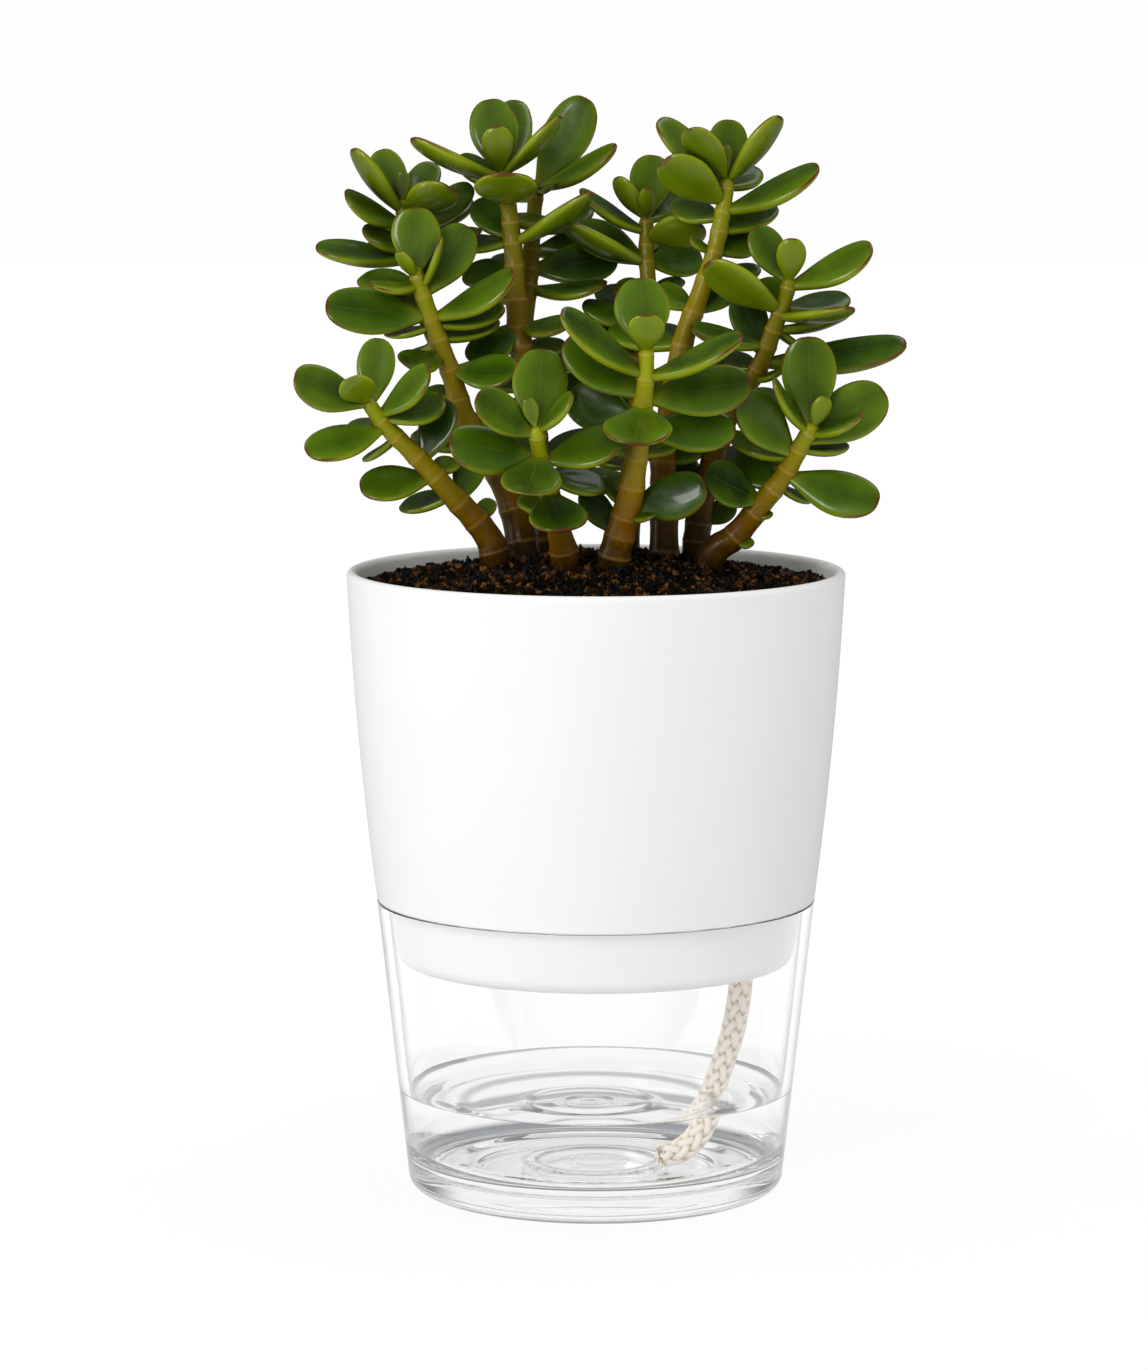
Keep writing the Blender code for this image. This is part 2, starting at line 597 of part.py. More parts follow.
def leaf_points(points, root, tip, width, turn, grow=0.0, start=0.0):
    """Places of a leaf's points. grow thickens it all round, start leaves out the stretch next to the root."""
    along = tip - root
    length = along.length
    along.normalize()
    angle = math.radians(turn)
    face = Vector((0.0, -math.cos(angle), math.sin(angle)))
    face -= face.project(along)
    if face.length < 0.1:
        face = Vector((0.0, -1.0, 1.0)) - Vector((0.0, -1.0, 1.0)).project(along)
    face.normalize()
    side = along.cross(face)
    thick = (LEAF_THICKNESS * MM + LEAF_THICKENING * length) / 2
    places = []
    for station, across, up in points:
        reach = start + (1 - start) * station
        half = width / 2 * leaf_outline(reach) + grow
        rise = up * (thick * leaf_thickness(reach) + grow) - LEAF_SAG * length * 4 * reach * (1 - reach)
        end = grow * (1 if station == 1 else 0)
        places.append(root + along * (reach * length + end) + side * (across * half) + face * rise)
    return places


def bend_clear(template, placed, stem, root, radius, tip, width, turn, stems):
    """The first bend of a leaf that keeps it off every leaf placed before it and off the stems."""
    points, faces = template
    free = min(0.75, max(BLADE_START, (radius + BLADE_STANDOFF) / (tip - root).length))
    for back, up, share in BENDS:
        bent = root + (tip + Vector((0.0, back, up)) * MM - root) * share
        whole, blade = (
            BVHTree.FromPolygons(
                leaf_points(points, root, bent, width * share, turn, LEAF_CLEARANCE, start), faces)
            for start in (0.0, free))
        middle = root.lerp(bent, 0.5)
        reach = (bent - root).length
        clear = all(not (blade if owner == stem else whole).overlap(tree) for owner, tree in stems)
        for other in placed:
            if not clear:
                break
            if (other["middle"] - middle).length > (other["reach"] + reach) * 0.62:
                continue
            same = other["stem"] == stem
            clear = not (blade if same else whole).overlap(other["blade" if same else "whole"])
        if clear:
            return {"stem": stem, "root": root, "tip": bent, "width": width * share, "turn": turn,
                    "template": template, "middle": middle, "reach": reach, "whole": whole, "blade": blade}
    return None


def tree_of(made):
    return BVHTree.FromPolygons([vertex.co for vertex in made.data.vertices],
                                [list(face.vertices) for face in made.data.polygons])


def make_plant(collection, cutters):
    """All leafy stems, each with its leaves fused to it, and a hole cutter in the soil for each."""
    green = material("jade_leaf_and_stem", (0.10, 0.22, 0.03), 0.35)
    draw = random.Random(FAR_SIDE_SEED)
    fine, plain = leaf_template(LEAF_STATIONS), leaf_template(PLAIN_STATIONS)
    tubes = {}
    wishes = []
    for stem, shoots in STEMS.items():
        tubes[stem] = []
        for count, shoot in enumerate(shoots):
            line, radii = shoot_tube(shoot, count == 0)
            name = stem if count == 0 else f"{stem}_branch"
            finish = green if count == 0 else None
            tubes[stem].append(tube(name, line, radii, STEM_ROUNDNESS, collection, finish))
            if count == 0:
                near = [i for i, point in enumerate(line) if (point - line[1]).length < HOLE_MOUTH]
                mouth = max(2, *near) + 2
                hole_cutter(f"hole_{stem}", line[:mouth], radii[:mouth], cutters)
            wishes += [(0, stem, shoot, leaf) for leaf in shoot.leaves]
            wishes += [(1, stem, shoot, leaf) for leaf in far_side_leaves(shoot, draw)]
    stems = [(stem, tree_of(made)) for stem, group in tubes.items() for made in group]
    placed = []
    for far, stem, shoot, leaf in sorted(wishes, key=lambda wish: wish[0]):
        node, radius = on_shoot(shoot, leaf.node)
        root = put(*node)
        tip = put(leaf.across, leaf.up, node.z + leaf.back)
        template = plain if far or (tip - root).length < PLAIN_LENGTH else fine
        clear = bend_clear(template, placed, stem, root, radius * MM, tip, leaf.width * MM, leaf.turn, stems)
        if clear:
            placed.append(clear)
    for stem, group in tubes.items():
        join_leaves(group, [leaf for leaf in placed if leaf["stem"] == stem])


def join_leaves(group, leaves):
    """Fuses the branch and the leaves of one stem to it."""
    stem = group[0]
    extra = new_collection(f"{stem.name}_leaves")
    for made in group[1:]:
        made.users_collection[0].objects.unlink(made)
        extra.objects.link(made)
    for leaf in leaves:
        points, faces = leaf["template"]
        mesh = bpy.data.meshes.new("leaf")
        places = leaf_points(points, leaf["root"], leaf["tip"], leaf["width"], leaf["turn"])
        mesh.from_pydata(places, [], faces)
        shape = bmesh.new()
        shape.from_mesh(mesh)
        bmesh.ops.recalc_face_normals(shape, faces=shape.faces)
        bmesh.ops.triangulate(shape, faces=shape.faces)
        shape.to_mesh(mesh)
        shape.free()
        add_object("leaf", mesh, extra)
    union = stem.modifiers.new("leaves", "BOOLEAN")
    union.operation = "UNION"
    union.operand_type = "COLLECTION"
    union.collection = extra
    union.solver = "EXACT"
    graph = bpy.context.evaluated_depsgraph_get()
    mesh = bpy.data.meshes.new_from_object(stem.evaluated_get(graph))
    stem.modifiers.clear()
    stem.data = mesh
    for made in list(extra.objects):
        bpy.data.objects.remove(made)
    bpy.data.collections.remove(extra)


def main():
    for made in list(bpy.data.objects):
        bpy.data.objects.remove(made)
    parts = new_collection("potted_jade_plant")
    cutters = new_collection("cutters")
    line = wick_line()
    wick_cutter = hole_cutter("hole_wick", line, [WICK_DIAMETER / 2] * len(line), cutters)
    make_pot(parts, wick_cutter)
    make_reservoir(parts)
    make_water(parts, wick_cutter)
    make_wick(parts)
    make_plant(parts, cutters)
    make_soil(parts, list(cutters.objects))


main()
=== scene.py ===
"""Looks of the potted jade plant: leaves, stems, soil, white pot, glass reservoir, water and wick.

Metres, Z up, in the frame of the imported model. The plant is grown by the same rules and from the same places
as its solids, and each finer piece stands for the node of the same form.
"""
import json
import math
import random
from collections import namedtuple
from functools import partial, reduce

import bmesh
import bpy
from bpy.props import FloatProperty, FloatVectorProperty, IntProperty, PointerProperty
from mathutils import Matrix, Vector, noise
from mathutils.bvhtree import BVHTree

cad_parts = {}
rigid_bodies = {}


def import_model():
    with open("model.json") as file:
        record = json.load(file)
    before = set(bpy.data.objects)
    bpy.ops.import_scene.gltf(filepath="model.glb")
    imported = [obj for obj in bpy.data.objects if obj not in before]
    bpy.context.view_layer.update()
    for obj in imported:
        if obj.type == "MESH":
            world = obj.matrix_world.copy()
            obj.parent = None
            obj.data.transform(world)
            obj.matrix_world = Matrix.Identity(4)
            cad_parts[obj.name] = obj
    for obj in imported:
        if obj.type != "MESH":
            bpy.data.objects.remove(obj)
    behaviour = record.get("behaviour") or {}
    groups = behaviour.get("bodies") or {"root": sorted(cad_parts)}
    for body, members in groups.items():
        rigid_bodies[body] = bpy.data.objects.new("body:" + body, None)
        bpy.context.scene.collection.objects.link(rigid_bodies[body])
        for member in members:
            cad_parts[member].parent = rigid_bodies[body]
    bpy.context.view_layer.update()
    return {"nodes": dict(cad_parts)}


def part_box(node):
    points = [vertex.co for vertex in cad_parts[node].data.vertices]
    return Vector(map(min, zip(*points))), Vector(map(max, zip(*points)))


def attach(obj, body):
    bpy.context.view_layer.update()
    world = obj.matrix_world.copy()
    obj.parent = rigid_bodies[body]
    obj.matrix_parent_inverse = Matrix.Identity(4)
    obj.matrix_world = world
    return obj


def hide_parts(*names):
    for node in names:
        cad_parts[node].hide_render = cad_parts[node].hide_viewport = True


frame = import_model()

bl_info = {
    "name": "Potted jade plant",
    "version": (1, 0, 0),
    "blender": (4, 5, 0),
    "location": "3D View > Sidebar > Jade plant",
    "description": "Grows a jade plant in a white pot on a glass water reservoir",
    "category": "Object",
}

MM = 0.001
BODY = "root"
STEM_NODES = [name for name in frame["nodes"] if name.startswith("stem_")]

# Pot.
RIM_HEIGHT = 189.0 * MM
RIM_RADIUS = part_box("pot")[1].x
SHOULDER_HEIGHT = 89.3 * MM
SHOULDER_RADIUS = 66.4 * MM
BELLY = 1.05 * MM
POT_WALL = 3.2 * MM
FOOT_TOP_RADIUS = 62.7 * MM
FOOT_LOW_RADIUS = 60.2 * MM
FOOT_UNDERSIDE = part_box("pot")[0].z
FOOT_CORNER = 5.0 * MM
POT_FLOOR = 3.0 * MM

# Reservoir and water.
GLASS_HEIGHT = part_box("reservoir")[1].z
GLASS_BASE_RADIUS = 56.6 * MM
GLASS_TAPER = 0.1105
GLASS_WALL = 3.0 * MM
GLASS_FLOOR = 8.0 * MM
GLASS_CORNER = 5.0 * MM
GLASS_INNER_CORNER = 8.0 * MM
WATER_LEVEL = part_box("water")[1].z

# Soil.
SOIL_EDGE_HEIGHT = 183.5 * MM
SOIL_DOME = 9.0 * MM
SOIL_DOME_ROUNDNESS = 1.2
SOIL_BOTTOM = 150.0 * MM

# Wick: the points of its centre line and where it leaves the pot, in millimetres.
WICK_DIAMETER = 7.8 * MM
WICK_ROUTE = [
    (41.0, -1.0, 94.0),
    (43.2, -1.5, 82.0),
    (44.0, -2.0, 70.0),
    (43.7, -3.0, 60.0),
    (41.4, -4.0, 47.6),
    (37.6, -5.5, 36.4),
    (34.0, -7.0, 27.4),
    (31.4, -8.4, 20.6),
    (28.0, -9.6, 15.8),
    (23.8, -10.8, 13.0),
    (18.8, -12.0, 12.2),
]
WICK_STEPS = 8

# The plant was measured as it is seen from a point 1.5 m in front of the pot. Each place is given as that
# reading and how far behind the pot's axis it really lies, and put() turns it into a real place.
EYE_ACROSS = -6.6
EYE_DISTANCE = 1497.5
EYE_HEIGHT = 350.9
EYE_PITCH = 7.5
LENS = 131.4
SENSOR = 36.0

ROOT_LENGTH = 20.0 * MM
ROOT_STEEPNESS = 2.0
STEM_TAPER = 1.35
STEM_ROUNDNESS = 2

# A leaf is a thick oval on a short stalk. Its stations run from the root in the stem to the tip.
LEAF_SIDES = 6
LEAF_STATIONS = (0.0, 0.10, 0.34, 0.62, 0.88, 1.0)
PLAIN_STATIONS = (0.0, 0.13, 0.48, 0.85, 1.0)
PLAIN_LENGTH = 15.0 * MM
LEAF_WIDEST = 0.62
LEAF_STALK = 0.16
LEAF_FULLNESS = 1.3
LEAF_ROUNDNESS = 0.42
LEAF_BLUNTNESS = 0.6
LEAF_END_THICKNESS = 0.62
LEAF_BULGE_END = 0.9
LEAF_SAG = 0.05
LEAF_THICKNESS = 1.2
LEAF_THICKENING = 0.10
BLADE_START = 0.25
BLADE_LATEST = 0.75
BLADE_STANDOFF = 1.5 * MM
LEAF_CLEARANCE = 0.25 * MM
NEIGHBOURHOOD = 0.62

Leaf = namedtuple("Leaf", "node across up back width turn")
Shoot = namedtuple("Shoot", "points widths leaves far_side")

# Each stem has one or two shoots. A shoot has the points of its centre line (across, up, back), its width at
# the base and at the top, its leaves, and the heights of the nodes whose leaves grow on the far side and are
# placed by rule. A leaf has the height of its node, its tip (across, up, and how far the tip lies behind the
# node), its width, and the turn of its upper face in degrees: 0 faces the front, 90 up and 180 away. All
# lengths are millimetres.
STEMS = {
    "stem_front_centre": [Shoot(
        points=[
            (5, 190, -20), (9.5, 207.5, -23), (11.7, 220, -26), (14, 238, -31), (15, 247, -34),
            (15, 256, -36),
        ],
        widths=(9.8, 4.2),
        leaves=[
            (238.5, 11.5, 226.5, -20, 20.5, 60), (247, -10.5, 266.5, -7, 14, 58),
            (246.5, 44, 259, -8, 14.5, 66), (254.5, 15, 265.5, -7, 11, 170), (254, 13, 276.5, 10, 16.5, 12),
            (240.5, -9, 258, 5, 15, 30), (240, 46.5, 245.5, 5, 16, 25), (231, 42, 231.5, 5, 14, 30),
            (231, -8, 242, 9, 15, 20), (206, 33, 214.5, -1, 14.5, 22), (199, -4, 213, 3, 9, 30),
            (205, 17.5, 205.5, -3, 5, 60), (207, 2, 217, 3, 5, 60),
        ],
        far_side=[214, 223],
    )],
    "stem_front_low": [Shoot(
        points=[(-9, 190, -20), (-11, 200, -23), (-14, 212, -28), (-17, 224, -34), (-18.2, 232, -38)],
        widths=(8.8, 4.2),
        leaves=[
            (223.5, -21, 211.5, -18, 18, 60), (212.5, -9.5, 200.5, -18, 17.5, 60),
            (222.5, -44, 227.5, -9, 15.5, 28), (221.5, 8, 229, -3, 14, 42), (229, -36, 241, -7, 13, 35),
            (230, -7, 242, -3, 9, 66), (231.5, -20.5, 240.5, -1, 5, 10), (230.5, -16, 255, 9, 16.5, 10),
            (217, 3, 215, 11, 12, 50),
        ],
        far_side=[205, 214, 222],
    )],
    "stem_far_left": [Shoot(
        points=[
            (-30, 192, -8), (-34, 201, -9), (-43, 211, -12), (-53, 222, -16), (-63, 232, -20),
            (-69, 240, -23),
        ],
        widths=(9.2, 4.2),
        leaves=[
            (238.5, -90.5, 247, -9, 14, 30), (239.5, -73.5, 247, -8, 11, 165),
            (238, -65, 258.5, 8, 11.5, 10), (235, -50, 249.5, -6, 12, 50), (232, -87, 224, -9, 14, 50),
            (229, -69, 223, 12, 10, 60), (217, -71, 213.5, -3, 13, 42), (211, -58.5, 208.5, 10, 12, 60),
            (221, -44.5, 240, 5, 11.5, 38), (218, -42, 222, 9, 8, 50), (209, -36, 225, 6, 10, 20),
            (227, -50, 226, 14, 10, 60), (233, -73, 233.5, 14, 9, 60), (203.5, -31, 210, 5, 6, 40),
        ],
        far_side=[223, 234],
    )],
    "stem_far_right": [Shoot(
        points=[
            (35, 193, -4), (42, 199, -6), (50, 209, -9), (57, 218, -12), (62.5, 228, -16), (66, 233, -18),
        ],
        widths=(8.8, 4.4),
        leaves=[
            (217.5, 85, 209, -7, 15, 30), (223, 43, 241, -8, 14.5, 25), (209, 33, 218, -8, 14, 32),
            (231, 63.5, 259, 3, 16.5, 5), (227, 86.5, 242.5, 5, 16.5, 12), (230, 53, 246.5, -5, 9, 62),
            (229.5, 80, 235.5, -9, 9, 62), (231.5, 69, 241, -3, 6, 165), (213, 42.5, 224, 9, 12, 20),
            (206, 53, 205, -3, 4.5, 60), (199, 47, 195.8, -4, 5, 50), (222, 40, 230, 8, 9, 60),
            (225, 75, 227, 12, 10, 70), (214.5, 64, 210.5, 11, 9, 60),
        ],
        far_side=[219, 228],
    )],
    "stem_left_forked": [Shoot(
        points=[
            (-22, 194, 8), (-24.5, 206, 9), (-29, 217, 9), (-39, 234, 9), (-43.5, 248, 9), (-48.5, 262, 8),
            (-53, 275, 7), (-54, 280, 7),
        ],
        widths=(9.8, 4.2),
        leaves=[
            (265, -81, 268, -5, 15.5, 30), (264, -24.5, 278, -5, 14, 58), (277, -54, 297.5, 3, 15, 15),
            (273, -46, 289, -4, 9, 78), (271, -38.5, 292, 9, 14.5, 22), (274, -67.5, 274.5, -7, 9, 72),
            (276.5, -59, 284.5, -6, 5.5, 100), (273, -70.5, 276.5, 10, 12, 50),
            (253.5, -58, 251, -12, 12, 50), (249, -24, 248.5, -9, 13.5, 42), (262, -63, 260.5, 10, 11, 80),
            (262, -27.5, 268, 7, 11, 62), (262.5, -40.5, 250.5, 9, 9, 55), (243, -54.5, 239.5, 8, 10.5, 50),
            (258, -56, 257.5, 12, 8, 50),
        ],
        far_side=[226, 233, 240, 258, 268],
    ), Shoot(
        points=[(-45.5, 254, 9), (-51, 265, 19), (-54, 280, 29), (-57, 292, 35), (-58, 300, 37)],
        widths=(5.6, 4.0),
        leaves=[
            (296, -72.5, 315, -6, 11, 98), (297, -43, 303, -15, 13.5, 140), (292, -75, 301.5, -8, 13, 58),
            (282, -84, 285.5, -5, 13, 64), (299, -57.3, 308, -1, 5.5, 10), (297, -64.5, 314.5, 9, 11, 20),
            (297, -48.5, 310.5, 12, 10, 30), (290, -37, 304, 7, 10, 32), (290, -67.5, 288, 13, 12, 30),
            (291, -34, 290.5, 2, 9, 75),
        ],
        far_side=[284, 292],
    )],
    "stem_tall_right": [Shoot(
        points=[
            (20.5, 192, 2), (20.5, 210, 4), (20.5, 226, 6), (25.5, 255, 11), (30.5, 270, 14), (35, 283, 16),
            (38, 297, 18), (39, 307, 19),
        ],
        widths=(9.0, 4.4),
        leaves=[
            (299, 20, 311.5, -10, 15, 142), (296, 66.5, 309.5, -5, 14, 62), (305, 18.5, 323.5, 2, 13, 62),
            (305.5, 55, 324.5, -4, 12, 105), (306, 27.5, 321, -5, 11.5, 128), (306, 39.5, 323.5, 8, 12, 10),
            (306.5, 38.5, 316, -2, 4.5, 150), (303, 47.5, 309.5, 15, 11, 40), (294, 23.5, 299, 11, 11, 50),
            (284, 28, 288.5, -2, 5, 60), (284, 47.5, 289.5, 9, 12, 40), (267, 18.5, 274, 3, 10, 50),
            (266, 42, 276, 6, 10, 42), (276, 49, 279.5, 8, 8, 50), (221, 32, 226, 7, 8, 50),
        ],
        far_side=[224, 232, 239, 246, 256, 290],
    )],
    "stem_right": [Shoot(
        points=[
            (30, 194, 12), (32, 210, 12), (36.5, 226, 11), (41, 238, 9), (48.5, 249, 7), (53.5, 262, 4),
            (56.5, 270, 2), (58, 277, 1),
        ],
        widths=(8.4, 4.2),
        leaves=[
            (267, 33, 281, -8, 14.5, 128), (273.5, 82.5, 286, -4, 14, 55), (265, 76.5, 267.5, -15, 14, 100),
            (275, 58.7, 288.3, -5, 9, 170), (275, 47.5, 291.5, 4, 11.5, 42), (267, 75.5, 271, 9, 12.5, 60),
            (251, 93, 257, 1, 12.5, 45), (256, 28, 262.5, 6, 12, 66), (253, 43.5, 271, -1, 11.5, 20),
            (261, 76, 264.5, -3, 12, 100), (266, 49, 276, 15, 11.5, 20), (249, 39, 253.5, 9, 9, 60),
            (262, 62, 256, 13, 9, 60), (246, 56, 249, -4, 5, 60), (203, 42, 208.5, -2, 8, 30),
        ],
        far_side=[215, 222, 229, 236, 243, 258],
    )],
    "stem_back_centre": [Shoot(
        points=[(9, 193, 18), (11.5, 225, 23), (14, 250, 28), (15.5, 272, 34), (15, 284, 37), (15, 296, 40)],
        widths=(8.0, 4.0),
        leaves=[
            (281, -10, 293, -8, 14, 104), (288.5, 32, 292, -14, 14.5, 138), (290, -5, 302.5, -4, 12, 72),
            (294, 6, 306.5, -3, 8.5, 112), (294, 17, 313, 8, 13, 12), (294.5, 15, 303.5, -3, 5, 150),
            (293, 25.5, 302.5, 11, 10, 32), (281, 31.5, 283, 9, 13, 26), (281, -6, 292, 13, 12.5, 32),
            (273, 5.5, 274, 5, 9, 50), (262, -4, 269, 4, 9, 50), (272, 26, 276, 8, 7, 60),
        ],
        far_side=[220, 228, 236, 244, 252, 258, 266, 286],
    )],
    "stem_back_forked": [Shoot(
        points=[
            (-15, 196, 24), (-18, 225, 26), (-22.5, 256, 27), (-24, 272, 28), (-25, 288, 28),
            (-26.5, 300, 28), (-28.3, 309, 28),
        ],
        widths=(9.4, 4.4),
        leaves=[
            (299, -27.5, 307.5, -21, 19, 140), (306, -55, 318, -9, 14, 98),
            (307.5, -10.5, 324.5, -4, 11, 100), (307.5, -30, 321.5, -5, 10, 170),
            (307, -32, 329.5, 9, 15, 8), (306, -24, 329, 13, 13, 20), (287, -1, 302, -4, 10, 98),
            (287, -43, 288, 4, 11.5, 66), (280, -40, 277, 5, 12, 50), (288, -36, 299.5, 10, 10.5, 30),
            (303, -40.5, 313, 16, 9.5, 50), (263, -37.5, 251.5, -6, 12.5, 40), (262, -8, 262, -11, 13, 60),
            (256, -9, 257, 7, 9.5, 60),
        ],
        far_side=[215, 222, 229, 236, 243, 250, 270, 293],
    ), Shoot(
        points=[(-22.7, 258, 27), (-20.5, 272, 39), (-19.3, 285, 48), (-18.3, 298, 54), (-17.2, 306, 56)],
        widths=(6.4, 4.2),
        leaves=[
            (303, -3, 330, 7, 15.5, 24), (303, 6, 315.5, -4, 13, 60), (279, 6.5, 282, -6, 15.5, 38),
            (273, 3, 275, -2, 12, 70), (302, -12, 304.5, -7, 6, 60), (284, 8, 290, 10, 13, 36),
        ],
        far_side=[278, 290, 300],
    )],
}

# A leaf of the far side points away from the front, to the left and right by turns.
FAR_SIDE_SEED = 7
FAR_SIDE_BEARING = (22.0, 62.0)
FAR_SIDE_RISE = (5.0, 32.0)
FAR_SIDE_LENGTH = (21.0, 28.0)
FAR_SIDE_ASPECT = 0.56
FAR_SIDE_TURN = 62.0

# What would cross another leaf or stem is bent clear, by the first of these changes that is enough:
# how far the tip moves back, how far it moves up, and the leaf's length as a share of the full one.
BENDS = [(0, 0, 1.0)]
BENDS += [(back, 0, 1.0) for step in (4, 8, 12) for back in (step, -step)]
BENDS += [(back, up, 1.0) for up in (4, -4) for back in (0, 5, -5, 10, -10, 15, -15)]
BENDS += [(back, up, 0.85) for up in (0, 5, -5) for back in (0, 7, -7, 14, -14)]
BENDS += [(back, up, 0.68) for up in (0, 6, -6) for back in (0, 8, -8, 16, -16)]

# Finer leaves and stems.
BLADE_STATIONS = (
    0.0, 0.04, 0.09, 0.15, 0.22, 0.30, 0.38, 0.46, 0.54, 0.62,
    0.70, 0.77, 0.83, 0.88, 0.92, 0.955, 0.98, 0.994, 1.0)
BLADE_SIDES = 20
BLADE_END = 0.86
MARGIN_ROUNDNESS = 0.72
YOUNG_LENGTH = 8.0
OLD_LENGTH = 20.0
OLD_DEPTH = 26.0
AGE_SPREAD = (-0.15, 0.1)
CUP_RANGE = (-0.6, 2.2)
STALK_SIDES = 20
STALK_STEPS = 24
SCAR_SPACING = (8.0, 11.0)
SCAR_GAP = 4.5
SCAR_SWELL = 0.35 * MM
SCAR_SWELL_REACH = 1.6 * MM
SCAR_WIDTH = 0.3 * MM
SCAR_GROOVE = 0.12 * MM
SCAR_GROOVE_PLACE = 0.7 * MM
SCAR_GROOVE_WIDTH = 0.35 * MM
# Depth over which the stems at the back are painted darker, as painted shade.
BACK_SHADE_DEPTH = 40.0 * MM

# Finer soil.
BED_RINGS = 44
BED_SIDES = 150
LUMP_SIZES = (9.0 * MM, 3.2 * MM, 1.4 * MM)
LUMP_HEIGHT = 0.9 * MM
BED_TONE = 0.25
CRUMB_KINDS = 6
CRUMB_DENSITY = 4.0e6
CRUMB_TONE_SEED = 77

# Finer pot, glass and water.
GUARD = 0.4 * MM
PROFILE_STEPS = 12
FOOT_FILLET = 2.0 * MM
FOOT_BEVEL = 0.4 * MM
SHOULDER_CORNER = 0.3 * MM
GLASS_RIM_CORNER = 0.35 * MM
GLASS_UNDERSIDE = [(3.0 * MM, 0.0), (6.0 * MM, 0.35 * MM), (12.0 * MM, 0.6 * MM)]
GLASS_HOLLOW = 0.8 * MM
GLASS_CLARITY = 0.99
FLOOR_STEPS = 60
SURFACE_STEPS = 120
WATER_DIP = 0.9 * MM
WATER_OVERLAP = 0.12 * MM
WATER_BENDING = 1.33
WATER_SLIGHT_BENDING = 1.04
MENISCUS_REACH = 1.6 * MM
RING_CENTRE = (-2.0 * MM, -20.0 * MM)
RING_FADE = 5.0 * MM
EDGE_WIDTH = 10.0 * MM
EDGE_SHARE = 0.72

# Stage: each light's name, place, size and colour, and what all point at.
LIGHTS = [
    ("key_light", (-0.62, -1.15, 0.75), (0.42, 0.60), "#fffdfa"),
    ("side_light", (-0.95, -0.30, 0.38), (0.14, 0.70), "#fffefc"),
    ("top_light", (0.35, 0.25, 1.2), (0.5, 0.5), "#fbfdff"),
]
LIGHT_TARGET = (0.0, 0.0, 0.16)
LIGHT_BOUNCES = 24
FLOOR_REACH = 6.0
FLOOR_DROP = 0.3 * MM
CAMERA_RANGE = (0.1, 20.0)

# Short names for the nodes that are added most, with their settings. A ramp goes smoothly from 0 at its
# first end to 1 at its second, and a noise's scale is one over its grain in millimetres.
NODES = {
    "mix": ("ShaderNodeMix", {"data_type": "RGBA"}),
    "ramp": ("ShaderNodeMapRange", {"interpolation_type": "SMOOTHSTEP"}),
    "noise": ("ShaderNodeTexNoise", {}),
    "bump": ("ShaderNodeBump", {"Strength": 1.0}),
    "carried": ("ShaderNodeAttribute", {}),
    "principled": ("ShaderNodeBsdfPrincipled", {}),
    "surface": ("ShaderNodeOutputMaterial", {}),
}


def linear(colour):
    """Linear red, green, blue and alpha of an sRGB hex colour such as #3f6b22."""
    parts = [int(colour[i:i + 2], 16) / 255 for i in (1, 3, 5)]
    return (*[c / 12.92 if c <= 0.04045 else ((c + 0.055) / 1.055) ** 2.4 for c in parts], 1.0)


def add_node(tree, kind, *values, **named):
    """Adds a node to a tree.

    Its kind is a type of node, a short name from NODES or an operation of the Math node. The values go to
    its inputs in their order, and what has a capital to the input of that name. Other names are settings.
    An input is linked where it gets a socket, or a node, which stands for its first output. Otherwise it is
    set to the value.
    """
    kind, settings = NODES.get(kind, (kind, {}))
    if kind.isupper():
        kind, settings = "ShaderNodeMath", {"operation": kind}
    node = tree.nodes.new(kind)
    for name, value in (settings | named).items():
        if name[0].islower():
            setattr(node, name, value)
    given = list(zip([socket for socket in node.inputs if socket.enabled], values))
    for name, value in (settings | named).items():
        if name[0].isupper():
            given.append((node.inputs[name.replace("_", " ")], value))
    for socket, value in given:
        for source in value if isinstance(value, list) else [value]:
            if isinstance(source, bpy.types.Node):
                source = next(output for output in source.outputs if output.enabled)
            if isinstance(source, bpy.types.NodeSocket):
                tree.links.new(source, socket)
            elif isinstance(source, str) and source.startswith("#"):
                socket.default_value = linear(source)
            else:
                socket.default_value = source
    return node


def new_material(name):
    """An empty node material, and the function that adds nodes to it."""
    made = bpy.data.materials.new(name)
    made.use_nodes = True
    made.node_tree.nodes.clear()
    return made, partial(add_node, made.node_tree)


def product(add, *factors):
    return reduce(partial(add, "MULTIPLY"), factors)


def dimmed(add, level, where, share):
    """The level, brought down to a share of itself where the other value is 1."""
    return product(add, level, add("MULTIPLY_ADD", where, share - 1.0, 1.0))


def in_millimetres(add, scale=(1.0, 1.0, 1.0)):
    """The place on the piece in millimetres. A pattern is drawn out along an axis whose scale is below 1."""
    place = add("ShaderNodeTexCoord").outputs["Object"]
    return add("ShaderNodeMapping", Vector=place, Scale=tuple(s / MM for s in scale))


def shaded(add, colour, deep, reach, strength):
    """The colour, turned to a deep one where parts within reach, in millimetres, keep light out."""
    cover = add("ShaderNodeAmbientOcclusion", Distance=reach * MM, samples=6).outputs["AO"]
    return add("mix", product(add, add("ramp", cover, 0.9, 0.3), strength), colour, deep)


def levelness(add):
    """1 where a surface lies level and 0 where it stands upright."""
    normal = add("ShaderNodeNewGeometry").outputs["Normal"]
    return add("ABSOLUTE", add("ShaderNodeSeparateXYZ", normal).outputs["Z"])


def see_through(add, shader, clarity):
    """A clear shader that lets the light of lamps and room straight through, onto what is behind it."""
    passed = add("ShaderNodeBsdfTransparent", (clarity, clarity, clarity, 1.0))
    ray = add("ShaderNodeLightPath").outputs
    lighting = add("MAXIMUM", ray["Is Shadow Ray"], ray["Is Diffuse Ray"])
    return add("ShaderNodeMixShader", lighting, shader, passed)


